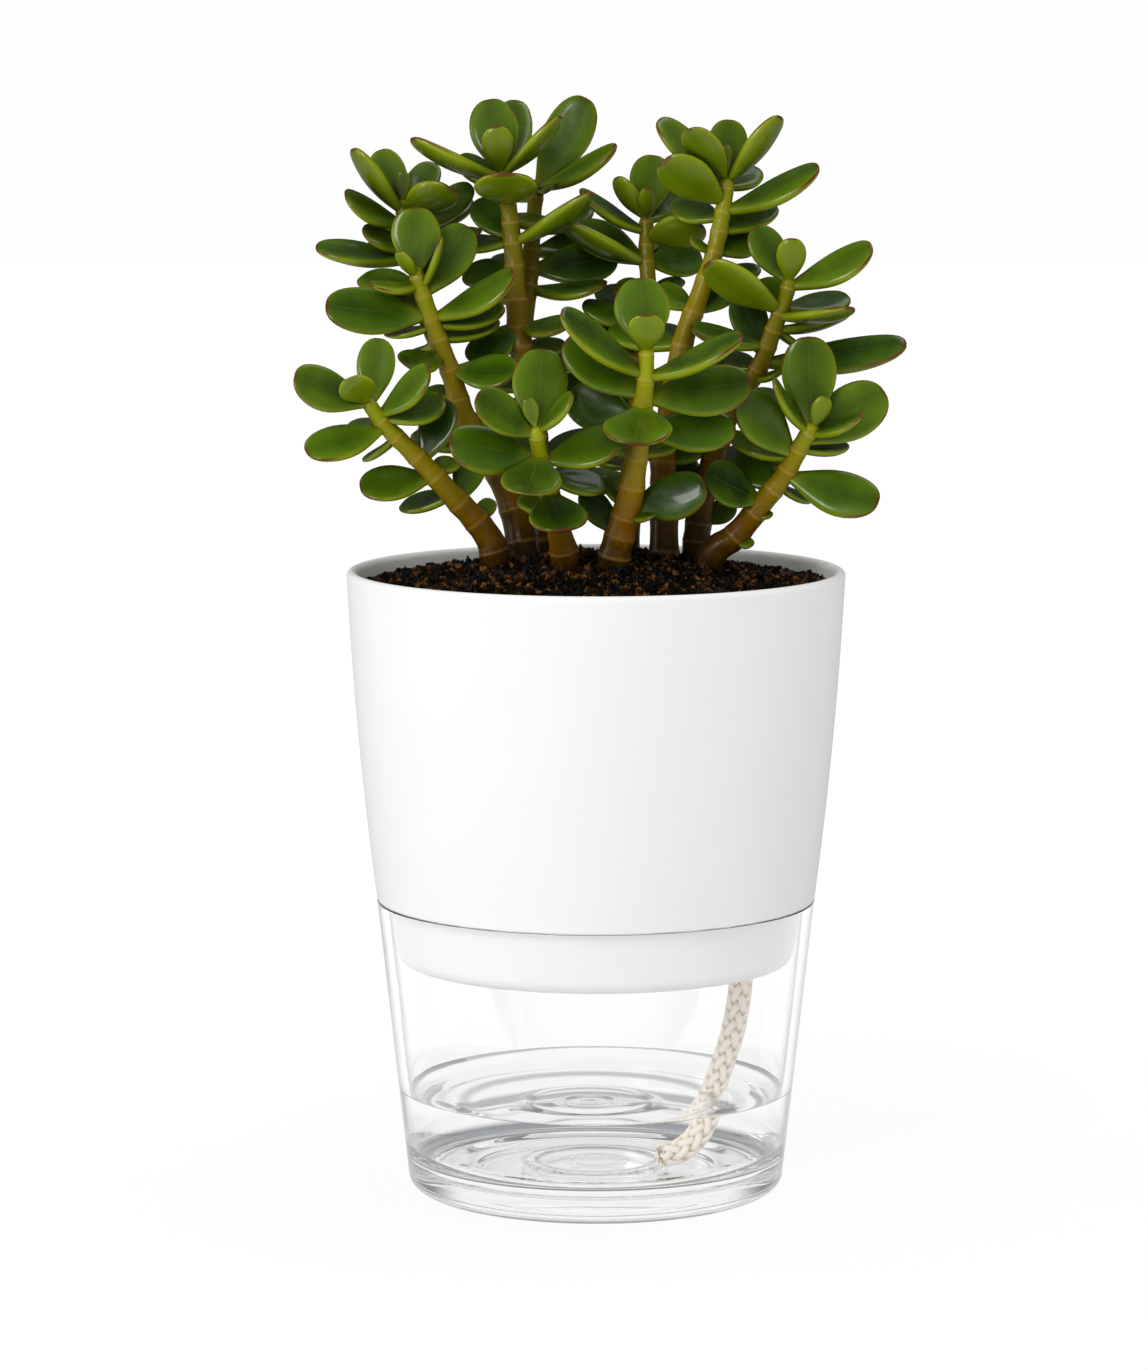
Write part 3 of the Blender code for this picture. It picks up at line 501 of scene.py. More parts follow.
def rough_reflection(add):
    """1 for light that is seen in a satin surface, 0 for what is seen straight or in clear glass."""
    ray = add("ShaderNodeLightPath").outputs
    satin = add("SUBTRACT", ray["Is Reflection Ray"], ray["Is Singular Ray"])
    return product(add, ray["Is Glossy Ray"], add("MAXIMUM", satin, 0.0))


def ceramic_material():
    """Earthenware with a matt white glaze, sprayed and fired: an even soft white with hardly any texture."""
    made, add = new_material("matt_glazed_earthenware")
    place = in_millimetres(add)
    colour = add("mix", add("noise", place, 1 / 22.0), "#f3f3f2", "#f7f7f6")
    peel = add("bump", Height=add("noise", place, 1 / 1.6, 3.0), Distance=0.015 * MM)
    add("surface", add("principled", Base_Color=colour, Roughness=0.42, IOR=1.5, Normal=peel))
    return made


def glass_material():
    """Pressed soda-lime glass: colourless, polished by fire, with the faint waves that the mould leaves."""
    made, add = new_material("soda_lime_glass")
    # Painted shade: glass that is seen at a slant is painted grey, for the dark lines along its edges.
    slant = add("ShaderNodeLayerWeight", Blend=0.5).outputs["Facing"]
    colour = add("mix", add("ramp", slant, 0.73, 0.93), "#fefefe", "#1e2428")
    # The steep sides of the rings and the round corners of the floor are painted grey as well, as painted
    # shade.
    level = levelness(add)
    slope = product(add, add("ramp", level, 0.6, 0.85), add("ramp", level, 0.998, 0.978))
    colour = add("mix", slope, colour, "#45494e")
    wave = add("noise", in_millimetres(add, (1.0, 1.0, 0.35)), 1 / 14.0, 1.0)
    shader = add("principled", Base_Color=colour, Roughness=0.0, IOR=1.51, Transmission_Weight=1.0,
                 Normal=add("bump", Height=wave, Distance=0.06 * MM))
    add("surface", see_through(add, shader, GLASS_CLARITY))
    return made


def water_material(name, bending, mirror, slope_shade):
    """Still tap water: clear, shown by bent light, reflections and painted shade.

    It bends light less than real water does. The steep sides of its rings, which turn the light away, are
    painted grey as painted shade.
    """
    made, add = new_material(name)
    colour = add("mix", add("ramp", levelness(add), 0.958, 0.996), slope_shade, "#fefefe")
    shader = add("principled", Base_Color=colour, Roughness=0.0, IOR=bending, Transmission_Weight=1.0,
                 Coat_Weight=mirror, Coat_Roughness=0.0, Coat_IOR=WATER_BENDING)
    add("surface", see_through(add, shader, 1.0))
    return made


def cotton_material():
    """Undyed cotton yarn, spun and braided: cream, matt and a little fuzzy, with painted shade in the creases.
    """
    made, add = new_material("braided_cotton")
    fibre = add("noise", in_millimetres(add), 1 / 0.5, 4.0, 0.7)
    depth = add("carried", attribute_name="depth").outputs["Fac"]
    yarn = add("mix", fibre, "#f0e5d4", "#fff9f0")
    # Painted shade: the yarn is darker where it dips under the yarns it crosses.
    colour = add("mix", add("ramp", depth, 0.2, 0.9), "#9a8260", yarn)
    add("surface", add("principled", Base_Color=colour, Roughness=0.9, Sheen_Weight=0.12,
                       Normal=add("bump", Height=fibre, Distance=0.12 * MM)))
    return made


def soil_material(name, dark, light, roughness):
    """Peat and bark compost, milled and moist: near black, with orange-brown bark and wet specks."""
    made, add = new_material(name)
    place = in_millimetres(add)
    grain = add("noise", place, 1 / 0.9, 4.0, 0.65)
    patch = add("noise", place, 1 / 7.0)
    tone = add("carried", attribute_name="tone").outputs["Fac"]
    tone = add("MULTIPLY_ADD", tone, 0.9, product(add, patch, 0.35))
    colour = add("mix", add("ramp", tone, 0.74, 1.16), dark, light)
    colour = add("mix", add("ramp", grain, 0.35, 0.75), "#060200", colour)
    rough = add("MULTIPLY_ADD", grain, 0.5, roughness)
    add("surface", add("principled", Base_Color=colour, Roughness=rough, IOR=1.36,
                       Normal=add("bump", Height=grain, Distance=0.35 * MM)))
    return made


def leaf_material(settings):
    """A waxy succulent leaf: deep green on its upper face, yellower below and when it is young.

    The thick margin is lighter, partly its own colour and partly painted glow of light through it, and turns
    red-brown towards the tip. A pale midrib and a few faint side veins show on the upper face, and painted
    shade darkens the leaf where other leaves and stems keep light out.
    """
    made, add = new_material("jade_leaf_skin")
    place = in_millimetres(add)
    reach, edge, upper, age, tone = (
        add("carried", attribute_name=name).outputs["Fac"]
        for name in ("reach", "edge", "upper", "age", "tone"))
    cloud = add("noise", place, 1 / 9.0)
    # Each leaf is darkest along its middle and lighter towards its margins: partly its own colour, partly
    # painted glow of light through the margins.
    across = add("ABSOLUTE", edge)
    light = add("MULTIPLY_ADD", cloud, 0.7, add("MULTIPLY_ADD", tone, 0.4, -0.4))
    light = add("ShaderNodeClamp", add("MULTIPLY_ADD", across, 0.5, light))
    old = add("mix", light, settings.leaf_dark, settings.leaf_green)
    young = add("mix", light, "#567203", settings.leaf_young)
    below = add("mix", age, "#768a02", "#466103")
    below = add("mix", product(add, light, 0.6), below, "#95a206")
    colour = add("mix", add("ramp", upper, 0.05, 0.4), below, add("mix", age, young, old))
    # The leaf is yellower near its stalk.
    colour = add("mix", product(add, add("ramp", reach, 0.32, 0.0), 0.75), colour, "#8a9a06")
    # The midrib is a thin pale line on the upper face, and side veins slant off it.
    wave = add("SINE", product(add, add("MULTIPLY_ADD", across, -0.28, reach), 46.0))
    side_vein = product(add, add("ramp", wave, 0.90, 1.0), add("ramp", cloud, 0.4, 0.7), 0.4)
    vein = add("MAXIMUM", add("ramp", across, 0.07, 0.0), side_vein)
    colour = add("mix", product(add, vein, add("ramp", upper, 0.3, 0.8), 0.10), colour, "#8ca030")
    # The margin is paler: partly its own colour, partly painted glow of light through it. A line along its
    # upper corner, and the leaf's end, are red towards the tip.
    colour = add("mix", product(add, add("ramp", add("ABSOLUTE", upper), 0.7, 0.1), 0.5), colour, "#a2ae08")
    off_corner = add("ABSOLUTE", add("SUBTRACT", upper, 0.22))
    rim = add("MAXIMUM", add("ramp", off_corner, 0.40, 0.10), add("ramp", reach, 0.95, 0.995))
    tip = add("ramp", add("MULTIPLY_ADD", cloud, 0.4, reach), 0.78, 1.14)
    red = product(add, rim, tip, add("ramp", tone, -0.3, 0.4), settings.rim_redness)
    colour = add("mix", red, colour, settings.rim_red)
    # The skin is finely dotted and a little dented.
    dots = add("noise", place, 1 / 0.45)
    colour = add("mix", product(add, add("ramp", dots, 0.52, 0.75), 0.04), colour, "#8fa04a")
    dents = add("MULTIPLY_ADD", dots, 0.06, add("noise", place, 1 / 7.0, 1.0))
    # Painted shade: the colour turns to a near-black green where nearby leaves and stems keep light out.
    add("surface", add(
        "principled", Base_Color=shaded(add, colour, "#0a1c02", 30.0, 0.7), Roughness=0.26, IOR=1.42,
        Coat_Weight=0.6, Coat_Roughness=0.07, Coat_IOR=1.5, Subsurface_Weight=0.06,
        Subsurface_Radius=(0.6, 1.0, 0.05), Subsurface_Scale=1.5 * MM,
        Normal=add("bump", Height=dents, Distance=0.35 * MM)))
    return made


def stem_material():
    """A fleshy stem: green at the top, olive and orange-brown lower down, dark and corky near the soil."""
    made, add = new_material("jade_stem_bark")
    height, scar, tone = (
        add("carried", attribute_name=name).outputs["Fac"] for name in ("height", "scar", "tone"))
    cloud = add("noise", in_millimetres(add), 1 / 3.0, 3.0)
    height = add("ADD", height, add("MULTIPLY_ADD", cloud, 0.2, -0.1))
    colour = add("mix", add("ramp", height, -0.02, 0.22), "#382002", "#8a6002")
    colour = add("mix", add("ramp", height, 0.2, 0.55), colour, "#9c8a00")
    colour = add("mix", add("ramp", height, 0.6, 0.98), colour, "#9ca803")
    grain = add("noise", in_millimetres(add, (1.0, 1.0, 0.2)), 1 / 0.7, 3.0, 0.6)
    colour = add("mix", product(add, add("ramp", grain, 0.5, 0.8), 0.3), colour, "#b48a0c")
    # Each stem's tone darkens and browns it: partly at random, and as painted shade for the stems at the back.
    colour = add("mix", product(add, tone, 0.6), colour, "#5e3c04")
    colour = add("mix", product(add, scar, 0.45), colour, "#c89c50")
    # Painted shade: the colour turns to a near-black brown where nearby parts keep light out.
    add("surface", add(
        "principled", Base_Color=shaded(add, colour, "#140c01", 36.0, 0.55), Roughness=0.24, IOR=1.4,
        Subsurface_Weight=0.05, Subsurface_Radius=(1.0, 0.6, 0.2), Subsurface_Scale=1.0 * MM,
        Normal=add("bump", Height=grain, Distance=0.12 * MM)))
    return made


def floor_material(settings):
    """Opal acrylic lit from below, as tables for product photographs have, which drowns most shadows."""
    made, add = new_material("lit_opal_acrylic")
    distance = add("ShaderNodeVectorMath", in_millimetres(add), operation="LENGTH")
    glow = add("MULTIPLY_ADD", add("ramp", distance, 90.0, 420.0), 0.055, 0.775)
    glow = dimmed(add, glow, rough_reflection(add), settings.haze)
    glow = dimmed(add, glow, add("ShaderNodeLightPath").outputs["Is Diffuse Ray"], settings.bounce)
    add("surface", add("principled", Base_Color="#808080", Roughness=0.9, Specular_IOR_Level=0.0,
                       Emission_Color="#ffffff", Emission_Strength=glow))
    made.cycles.emission_sampling = "NONE"
    return made


def scene_object(name, data):
    made = bpy.data.objects.new(name, data)
    bpy.context.scene.collection.objects.link(made)
    return made


def mesh_from(shape, name):
    """The shape as a mesh of that name. The shape is used up."""
    mesh = bpy.data.meshes.new(name)
    shape.to_mesh(mesh)
    shape.free()
    return mesh


def remove(made):
    """Removes an object together with its data."""
    data = made.data
    bpy.data.objects.remove(made)
    if isinstance(data, bpy.types.Curve):
        bpy.data.curves.remove(data)
    elif isinstance(data, bpy.types.Mesh):
        bpy.data.meshes.remove(data)


def plain_mesh(made):
    """The object with its modifiers applied and its doubles merged, as a new object of the same name."""
    graph = bpy.context.evaluated_depsgraph_get()
    mesh = bpy.data.meshes.new_from_object(made.evaluated_get(graph))
    shape = bmesh.new()
    shape.from_mesh(mesh)
    bmesh.ops.remove_doubles(shape, verts=shape.verts, dist=0.001 * MM)
    shape.to_mesh(mesh)
    shape.free()
    name = made.name
    remove(made)
    mesh.name = name
    return scene_object(name, mesh)


def finished(made, slot, *nodes):
    """Attaches a piece to the body it rides on and hides the nodes it stands for. The slot is not used."""
    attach(made, BODY)
    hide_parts(*nodes)
    return made


def arc(centre, radius, start, end, steps):
    """Points of a round corner, with the angles in degrees."""
    points = []
    for step in range(steps + 1):
        angle = math.radians(start + (end - start) * step / steps)
        points.append((centre[0] + radius * math.cos(angle), centre[1] + radius * math.sin(angle)))
    return points


def guarded(outline):
    """The outline with a point close to both ends of each long stretch, to keep smooth shading off it."""
    points = [outline[0]]
    for before, after in zip(outline, outline[1:]):
        length = math.dist(before, after)
        if length > 4 * GUARD:
            for share in (GUARD / length, 1 - GUARD / length):
                points.append(tuple(b + (a - b) * share for a, b in zip(after, before)))
        points.append(after)
    return points


def turned(name, outline, sides, finish):
    """A solid of revolution about the Z axis, from its half outline as radius and height."""
    outline = guarded(outline)
    mesh = bpy.data.meshes.new(name)
    mesh.from_pydata([(radius, 0.0, height) for radius, height in outline],
                     [(i, i + 1) for i in range(len(outline) - 1)], [])
    made = scene_object(name, mesh)
    screw = made.modifiers.new("turn", "SCREW")
    screw.steps = sides
    screw.render_steps = sides
    screw.use_merge_vertices = True
    screw.merge_threshold = 0.01 * MM
    made = plain_mesh(made)
    made.data.materials.append(finish)
    made.data.shade_smooth()
    return made


def smooth_line(points, steps):
    """Points of a smooth curve through the given ones, with the given number of steps to each span."""
    ends = [2 * points[0] - points[1], *points, 2 * points[-1] - points[-2]]
    line = []
    for i in range(1, len(ends) - 2):
        before, start, end, after = ends[i - 1:i + 3]
        for step in range(steps):
            t = step / steps
            line.append(0.5 * (2 * start + (end - before) * t
                               + (2 * before - 5 * start + 4 * end - after) * t ** 2
                               + (3 * start - before - 3 * end + after) * t ** 3))
    return line + [points[-1].copy()]


def path_curve(name, line, radii):
    """A curve object along the line, with a radius for each of its points."""
    curve = bpy.data.curves.new(name, "CURVE")
    curve.dimensions = "3D"
    spline = curve.splines.new("POLY")
    spline.points.add(len(line) - 1)
    for point, place, radius in zip(spline.points, line, radii):
        point.co = (*place, 1.0)
        point.radius = radius / max(radii)
    return scene_object(name, curve)


def tube(name, line, radii, roundness):
    """A closed tube along the line, with a radius for each of its points."""
    made = path_curve(name, line, radii)
    made.data.bevel_depth = max(radii)
    made.data.bevel_resolution = roundness
    made.data.use_fill_caps = True
    return plain_mesh(made)


def store(mesh, name, kind, values):
    """Keeps a number or a vector for each point of a mesh."""
    field = mesh.attributes.new(name, kind, "POINT")
    if kind == "FLOAT_VECTOR":
        field.data.foreach_set("vector", [c for value in values for c in value])
    else:
        field.data.foreach_set("value", list(values))


def pot_radius(height):
    """Outer radius of the pot above its shoulder."""
    share = (height - SHOULDER_HEIGHT) / (RIM_HEIGHT - SHOULDER_HEIGHT)
    return SHOULDER_RADIUS + (RIM_RADIUS - SHOULDER_RADIUS) * share + BELLY * 4 * share * (1 - share)


def glass_radius(height):
    return GLASS_BASE_RADIUS + GLASS_TAPER * height


def ring_height(radius, inner, slope):
    """Height of rings with sharp crests, that spread from the middle and grow wider on their way out."""
    crest = 0.5 + 0.5 * math.cos(2 * math.pi * math.log2(1 + radius / inner))
    return slope / 9 * (radius + inner) * crest ** 4


def soil_height(radius, edge):
    slope = math.cos(math.pi / 2 * min(1.0, radius / edge))
    return SOIL_EDGE_HEIGHT + SOIL_DOME * slope ** SOIL_DOME_ROUNDNESS


def put(across, up, back):
    """The real place of a point that is seen at the given place and lies that far behind the pot's axis."""
    share = back / EYE_DISTANCE
    return Vector((across + (across - EYE_ACROSS) * share, back, up + (up - EYE_HEIGHT) * share)) * MM


def stem_radius(shoot, share):
    """Radius of a shoot at a share of its length, in millimetres."""
    base, top = shoot.widths
    return (top + (base - top) * (1 - share) ** STEM_TAPER) / 2


def on_shoot(shoot, up):
    """The point of a shoot's centre line at a height, as they are seen, and the shoot's radius there."""
    points = [Vector(point) for point in shoot.points]
    for count, (low, high) in enumerate(zip(points, points[1:])):
        if up <= high.y or count == len(points) - 2:
            part = min(1.0, (up - low.y) / (high.y - low.y))
            return low.lerp(high, part), stem_radius(shoot, (count + part) / (len(points) - 1))


def shoot_tube(shoot, has_root):
    """The real centre line of a shoot and its radii. A stem's line starts below the soil."""
    line = [put(*point) for point in shoot.points]
    radii = [stem_radius(shoot, count / (len(line) - 1)) * MM for count in range(len(line))]
    if has_root:
        down = (line[0] - line[1]).normalized() + Vector((0.0, 0.0, -ROOT_STEEPNESS))
        line.insert(0, line[0] + down.normalized() * ROOT_LENGTH)
        radii.insert(0, radii[0])
    return line, radii


def far_side_leaves(shoot, draw):
    """Leaves on the side that is away from the front, at the shoot's listed nodes."""
    leaves = []
    for count, up in enumerate(shoot.far_side):
        node = on_shoot(shoot, up)[0]
        bearing = math.radians(draw.uniform(*FAR_SIDE_BEARING)) * (1 if count % 2 else -1)
        rise = math.radians(draw.uniform(*FAR_SIDE_RISE))
        length = draw.uniform(*FAR_SIDE_LENGTH)
        leaves.append(Leaf(
            up,
            node.x + length * math.cos(rise) * math.sin(bearing),
            up + length * math.sin(rise),
            length * math.cos(rise) * math.cos(bearing),
            length * FAR_SIDE_ASPECT,
            FAR_SIDE_TURN,
        ))
    return leaves


def ringed_ball(stations, sides):
    """A ball with a pole or ring of points for each station, and each point's station, cosine and sine."""
    ball = bmesh.new()
    bmesh.ops.create_uvsphere(ball, u_segments=sides, v_segments=len(stations) - 1, radius=1.0)
    levels = sorted({round(vertex.co.z, 4) for vertex in ball.verts})
    rows = []
    for vertex in ball.verts:
        around = math.hypot(vertex.co.x, vertex.co.y)
        cosine, sine = (vertex.co.x / around, vertex.co.y / around) if around > 0.001 else (0.0, 0.0)
        rows.append((stations[levels.index(round(vertex.co.z, 4))], cosine, sine))
    return ball, rows


def leaf_template(stations):
    """The points of a plain leaf, as (station, across, up), and its faces."""
    ball, rows = ringed_ball(stations, LEAF_SIDES)
    points = [(station, math.copysign(abs(cosine) ** LEAF_BLUNTNESS, cosine), sine / math.sin(math.pi / 3))
              for station, cosine, sine in rows]
    faces = [[vertex.index for vertex in face.verts] for face in ball.faces]
    ball.free()
    return points, faces


def leaf_outline(station):
    """Half width of a leaf at a station, as a share of its greatest half width."""
    if station < LEAF_WIDEST:
        return LEAF_STALK + (1 - LEAF_STALK) * math.sin(math.pi / 2 * station / LEAF_WIDEST) ** LEAF_FULLNESS
    beyond = (station - LEAF_WIDEST) / (1 - LEAF_WIDEST)
    return max(0.0, 1 - beyond ** 2) ** LEAF_ROUNDNESS


def leaf_thickness(station):
    """Half thickness of a leaf at a station, as a share of the greatest."""
    bulge = math.sin(math.pi * min(1.0, station / LEAF_BULGE_END))
    return LEAF_END_THICKNESS + (1 - LEAF_END_THICKNESS) * bulge


def leaf_axes(root, tip, turn):
    """Directions along a leaf, out of its upper face and across it, and its length."""
    along = tip - root
    length = along.length
    along.normalize()
    angle = math.radians(turn)
    face = Vector((0.0, -math.cos(angle), math.sin(angle)))
    face -= face.project(along)
    if face.length < 0.1:
        face = Vector((0.0, -1.0, 1.0)) - Vector((0.0, -1.0, 1.0)).project(along)
    face.normalize()
    return along, face, along.cross(face), length


def leaf_points(points, root, tip, width, turn, grow=0.0, start=0.0):
    """Places of a leaf's points. grow thickens it all round, start leaves out the stretch by the root."""
    along, face, side, length = leaf_axes(root, tip, turn)
    thick = (LEAF_THICKNESS * MM + LEAF_THICKENING * length) / 2
    places = []
    for station, across, up in points:
        reach = start + (1 - start) * station
        half = width / 2 * leaf_outline(reach) + grow
        rise = up * (thick * leaf_thickness(reach) + grow) - LEAF_SAG * length * 4 * reach * (1 - reach)
        end = grow * (1 if station == 1 else 0)
        places.append(root + along * (reach * length + end) + side * (across * half) + face * rise)
    return places


def bend_clear(template, placed, stem, root, radius, tip, width, turn, stems):
    """The first bend of a leaf that keeps it off every leaf placed before it and off the stems."""
    points, faces = template
    free = min(BLADE_LATEST, max(BLADE_START, (radius + BLADE_STANDOFF) / (tip - root).length))
    for back, up, share in BENDS:
        bent = root + (tip + Vector((0.0, back, up)) * MM - root) * share
        whole, blade = (
            BVHTree.FromPolygons(
                leaf_points(points, root, bent, width * share, turn, LEAF_CLEARANCE, start), faces)
            for start in (0.0, free))
        middle = root.lerp(bent, 0.5)
        reach = (bent - root).length
        clear = all(not (blade if owner == stem else whole).overlap(tree) for owner, tree in stems)
        for other in placed:
            if not clear:
                break
            if (other["middle"] - middle).length > (other["reach"] + reach) * NEIGHBOURHOOD:
                continue
            same = other["stem"] == stem
            clear = not (blade if same else whole).overlap(other["blade" if same else "whole"])
        if clear:
            return {"stem": stem, "root": root, "tip": bent, "width": width * share, "turn": turn,
                    "middle": middle, "reach": reach, "whole": whole, "blade": blade}
    return None


def tree_of(made):
    return BVHTree.FromPolygons([vertex.co for vertex in made.data.vertices],
                                [list(face.vertices) for face in made.data.polygons])


def placed_leaves():
    """Every leaf where it grows clear of the others, with its node's distance below the shoot's top."""
    draw = random.Random(FAR_SIDE_SEED)
    fine, plain = leaf_template(LEAF_STATIONS), leaf_template(PLAIN_STATIONS)
    stems = []
    wishes = []
    for stem, shoots in STEMS.items():
        for count, shoot in enumerate(shoots):
            made = tube("guide", *shoot_tube(shoot, count == 0), STEM_ROUNDNESS)
            stems.append((stem, tree_of(made)))
            remove(made)
            wishes += [(0, stem, shoot, Leaf(*leaf)) for leaf in shoot.leaves]
            wishes += [(1, stem, shoot, leaf) for leaf in far_side_leaves(shoot, draw)]
    placed = []
    for far, stem, shoot, leaf in sorted(wishes, key=lambda wish: wish[0]):
        node, radius = on_shoot(shoot, leaf.node)
        root = put(*node)
        tip = put(leaf.across, leaf.up, node.z + leaf.back)
        template = plain if far or (tip - root).length < PLAIN_LENGTH else fine
        clear = bend_clear(template, placed, stem, root, radius * MM, tip, leaf.width * MM, leaf.turn, stems)
        if clear:
            clear["below_top"] = shoot.points[-1][1] - leaf.node
            placed.append(clear)
    return placed


def blade_mesh(settings):
    """A smooth leaf of unit size whose points carry their share of its length, width and thickness."""
    ball, places = ringed_ball(BLADE_STATIONS, BLADE_SIDES)
    rows = []
    for reach, cosine, sine in places:
        edge = math.copysign(abs(cosine) ** MARGIN_ROUNDNESS, cosine)
        rise = math.copysign(abs(sine) ** MARGIN_ROUNDNESS, sine)
        end = max(0.0, (reach - BLADE_END) / (1 - BLADE_END))
        thick = leaf_thickness(reach) * math.sqrt(max(0.0, 1 - end ** 2))
        # The upper face is hollow between its thick margins.
        hollow = settings.hollow * (1 - edge ** 2) ** 2 * math.sin(math.pi * reach) if sine > 0 else 0.0
        rows.append((reach, edge * leaf_outline(reach), rise * thick * (1 - hollow), edge, sine))
    # A leaf's length, width and face turn the other way round than X, Y and Z.
    bmesh.ops.reverse_faces(ball, faces=ball.faces)
    mesh = mesh_from(ball, "leaf_blade")
    for name, values in zip(("reach", "across", "rise", "edge", "upper"), zip(*rows)):
        store(mesh, name, "FLOAT", values)
    return mesh


def geometry_tree(name, output, inputs):
    """An empty Geometry Nodes tree: the function that adds nodes to it, and its inputs by name."""
    tree = bpy.data.node_groups.new(name, "GeometryNodeTree")
    for title, kind in inputs.items():
        tree.interface.new_socket(title, in_out="INPUT", socket_type=f"NodeSocket{kind}")
    tree.interface.new_socket(output, in_out="OUTPUT", socket_type="NodeSocketGeometry")
    add = partial(add_node, tree)
    return add, add("NodeGroupInput").outputs


def leaf_tree(material):
    """Geometry Nodes that put a copy of the blade on each point and shape it by what the point carries."""
    add, given = geometry_tree("jade_leaves", "Leaves", {
        "Points": "Geometry", "Blade": "Object", "Sag": "Float", "Fold": "Float"})
    blade = add("GeometryNodeObjectInfo", given["Blade"]).outputs["Geometry"]
    copies = add("GeometryNodeInstanceOnPoints", Points=given["Points"], Instance=blade)
    real = add("GeometryNodeRealizeInstances", copies)
    reach, across, rise, length, width, thick, cup = (
        add("GeometryNodeInputNamedAttribute", Name=name, data_type="FLOAT")
        for name in ("reach", "across", "rise", "length", "width", "thick", "cup"))
    root, along, side, face = (
        add("GeometryNodeInputNamedAttribute", Name=name, data_type="FLOAT_VECTOR")
        for name in ("root", "along", "side", "face"))
    # A leaf sags in an arc between its ends, and its margins are bent up or down.
    droop = product(add, reach, add("SUBTRACT", 1.0, reach), 4.0, given["Sag"], length)
    margin = product(add, across, across, given["Fold"], cup, width)
    lift = add("MULTIPLY_ADD", rise, thick, add("SUBTRACT", margin, droop))
    place = root
    for direction, factors in ((along, (reach, length)), (side, (across, width, 0.5)), (face, (lift,))):
        step = add("ShaderNodeVectorMath", direction, product(add, *factors), operation="SCALE")
        place = add("ShaderNodeVectorMath", place, step, operation="ADD")
    moved = add("GeometryNodeSetPosition", real, Position=place)
    smooth = add("GeometryNodeSetShadeSmooth", moved)
    add("NodeGroupOutput", add("GeometryNodeSetMaterial", smooth, Material=material))
    return place.id_data


def grown(name, source, tree, inputs):
    """The plain mesh that a Geometry Nodes tree makes of the source object, which is used up."""
    modifier = source.modifiers.new("grow", "NODES")
    modifier.node_group = tree
    for socket in tree.interface.items_tree:
        if socket.in_out == "INPUT" and socket.name in inputs:
            modifier[socket.identifier] = inputs[socket.name]
    graph = bpy.context.evaluated_depsgraph_get()
    mesh = bpy.data.meshes.new_from_object(source.evaluated_get(graph))
    mesh.name = name
    remove(source)
    return scene_object(name, mesh)


def point_cloud(leaves, draw):
    """A mesh with a point at each leaf's root that carries the leaf's directions and sizes."""
    mesh = bpy.data.meshes.new("leaf_roots")
    mesh.from_pydata([leaf["root"] for leaf in leaves], [], [])
    axes = [leaf_axes(leaf["root"], leaf["tip"], leaf["turn"]) for leaf in leaves]
    store(mesh, "root", "FLOAT_VECTOR", [leaf["root"] for leaf in leaves])
    for number, name in enumerate(("along", "face", "side")):
        store(mesh, name, "FLOAT_VECTOR", [axis[number] for axis in axes])
    store(mesh, "length", "FLOAT", [axis[3] for axis in axes])
    store(mesh, "width", "FLOAT", [leaf["width"] for leaf in leaves])
    store(mesh, "thick", "FLOAT", [(LEAF_THICKNESS * MM + LEAF_THICKENING * axis[3]) / 2 for axis in axes])
    ages = []
    for leaf, axis in zip(leaves, axes):
        size = min(1.0, max(0.0, (axis[3] / MM - YOUNG_LENGTH) / (OLD_LENGTH - YOUNG_LENGTH)))
        depth = min(1.0, leaf["below_top"] / OLD_DEPTH)
        ages.append(min(1.0, max(0.0, 0.7 * size + 0.3 * depth + draw.uniform(*AGE_SPREAD))))
    store(mesh, "age", "FLOAT", ages)
    store(mesh, "tone", "FLOAT", [draw.random() for _ in leaves])
    store(mesh, "cup", "FLOAT", [draw.uniform(*CUP_RANGE) for _ in leaves])
    return scene_object("leaf_roots", mesh)


def swept(name, line, radii, sides, numbers):
    """A closed tube of rings along the line, whose points carry the numbers given for each ring."""
    shape = bmesh.new()
    fields = {key: shape.verts.layers.float.new(key) for key in numbers}
    across = (line[1] - line[0]).orthogonal().normalized()
    rings = []
    for count, (place, radius) in enumerate(zip(line, radii)):
        ahead = (line[min(count + 1, len(line) - 1)] - line[max(count - 1, 0)]).normalized()
        across = (across - across.project(ahead)).normalized()
        beside = ahead.cross(across)
        ring = []
        for side in range(sides):
            angle = 2 * math.pi * side / sides
            out = across * math.cos(angle) + beside * math.sin(angle)
            vertex = shape.verts.new(place + out * radius)
            for key, field in fields.items():
                vertex[field] = numbers[key][count]
            ring.append(vertex)
        rings.append(ring)
    for low, high in zip(rings, rings[1:]):
        for side in range(sides):
            after = (side + 1) % sides
            shape.faces.new((low[side], low[after], high[after], high[side]))
    shape.faces.new(list(reversed(rings[0])))
    shape.faces.new(rings[-1])
    mesh = mesh_from(shape, name)
    mesh.shade_smooth()
    return scene_object(name, mesh)


def node_heights(shoot, draw):
    """Heights of the ring scars: where leaves grow, and every 8 to 11 mm on the bare stem below them."""
    grown_at = sorted([leaf[0] for leaf in shoot.leaves] + shoot.far_side)
    heights = []
    up = shoot.points[0][1] + draw.uniform(2.0, 5.0)
    while up < grown_at[0] - 4.0:
        heights.append(up)
        up += draw.uniform(*SCAR_SPACING)
    for node in grown_at:
        if not heights or node - heights[-1] > SCAR_GAP:
            heights.append(node)
    return heights


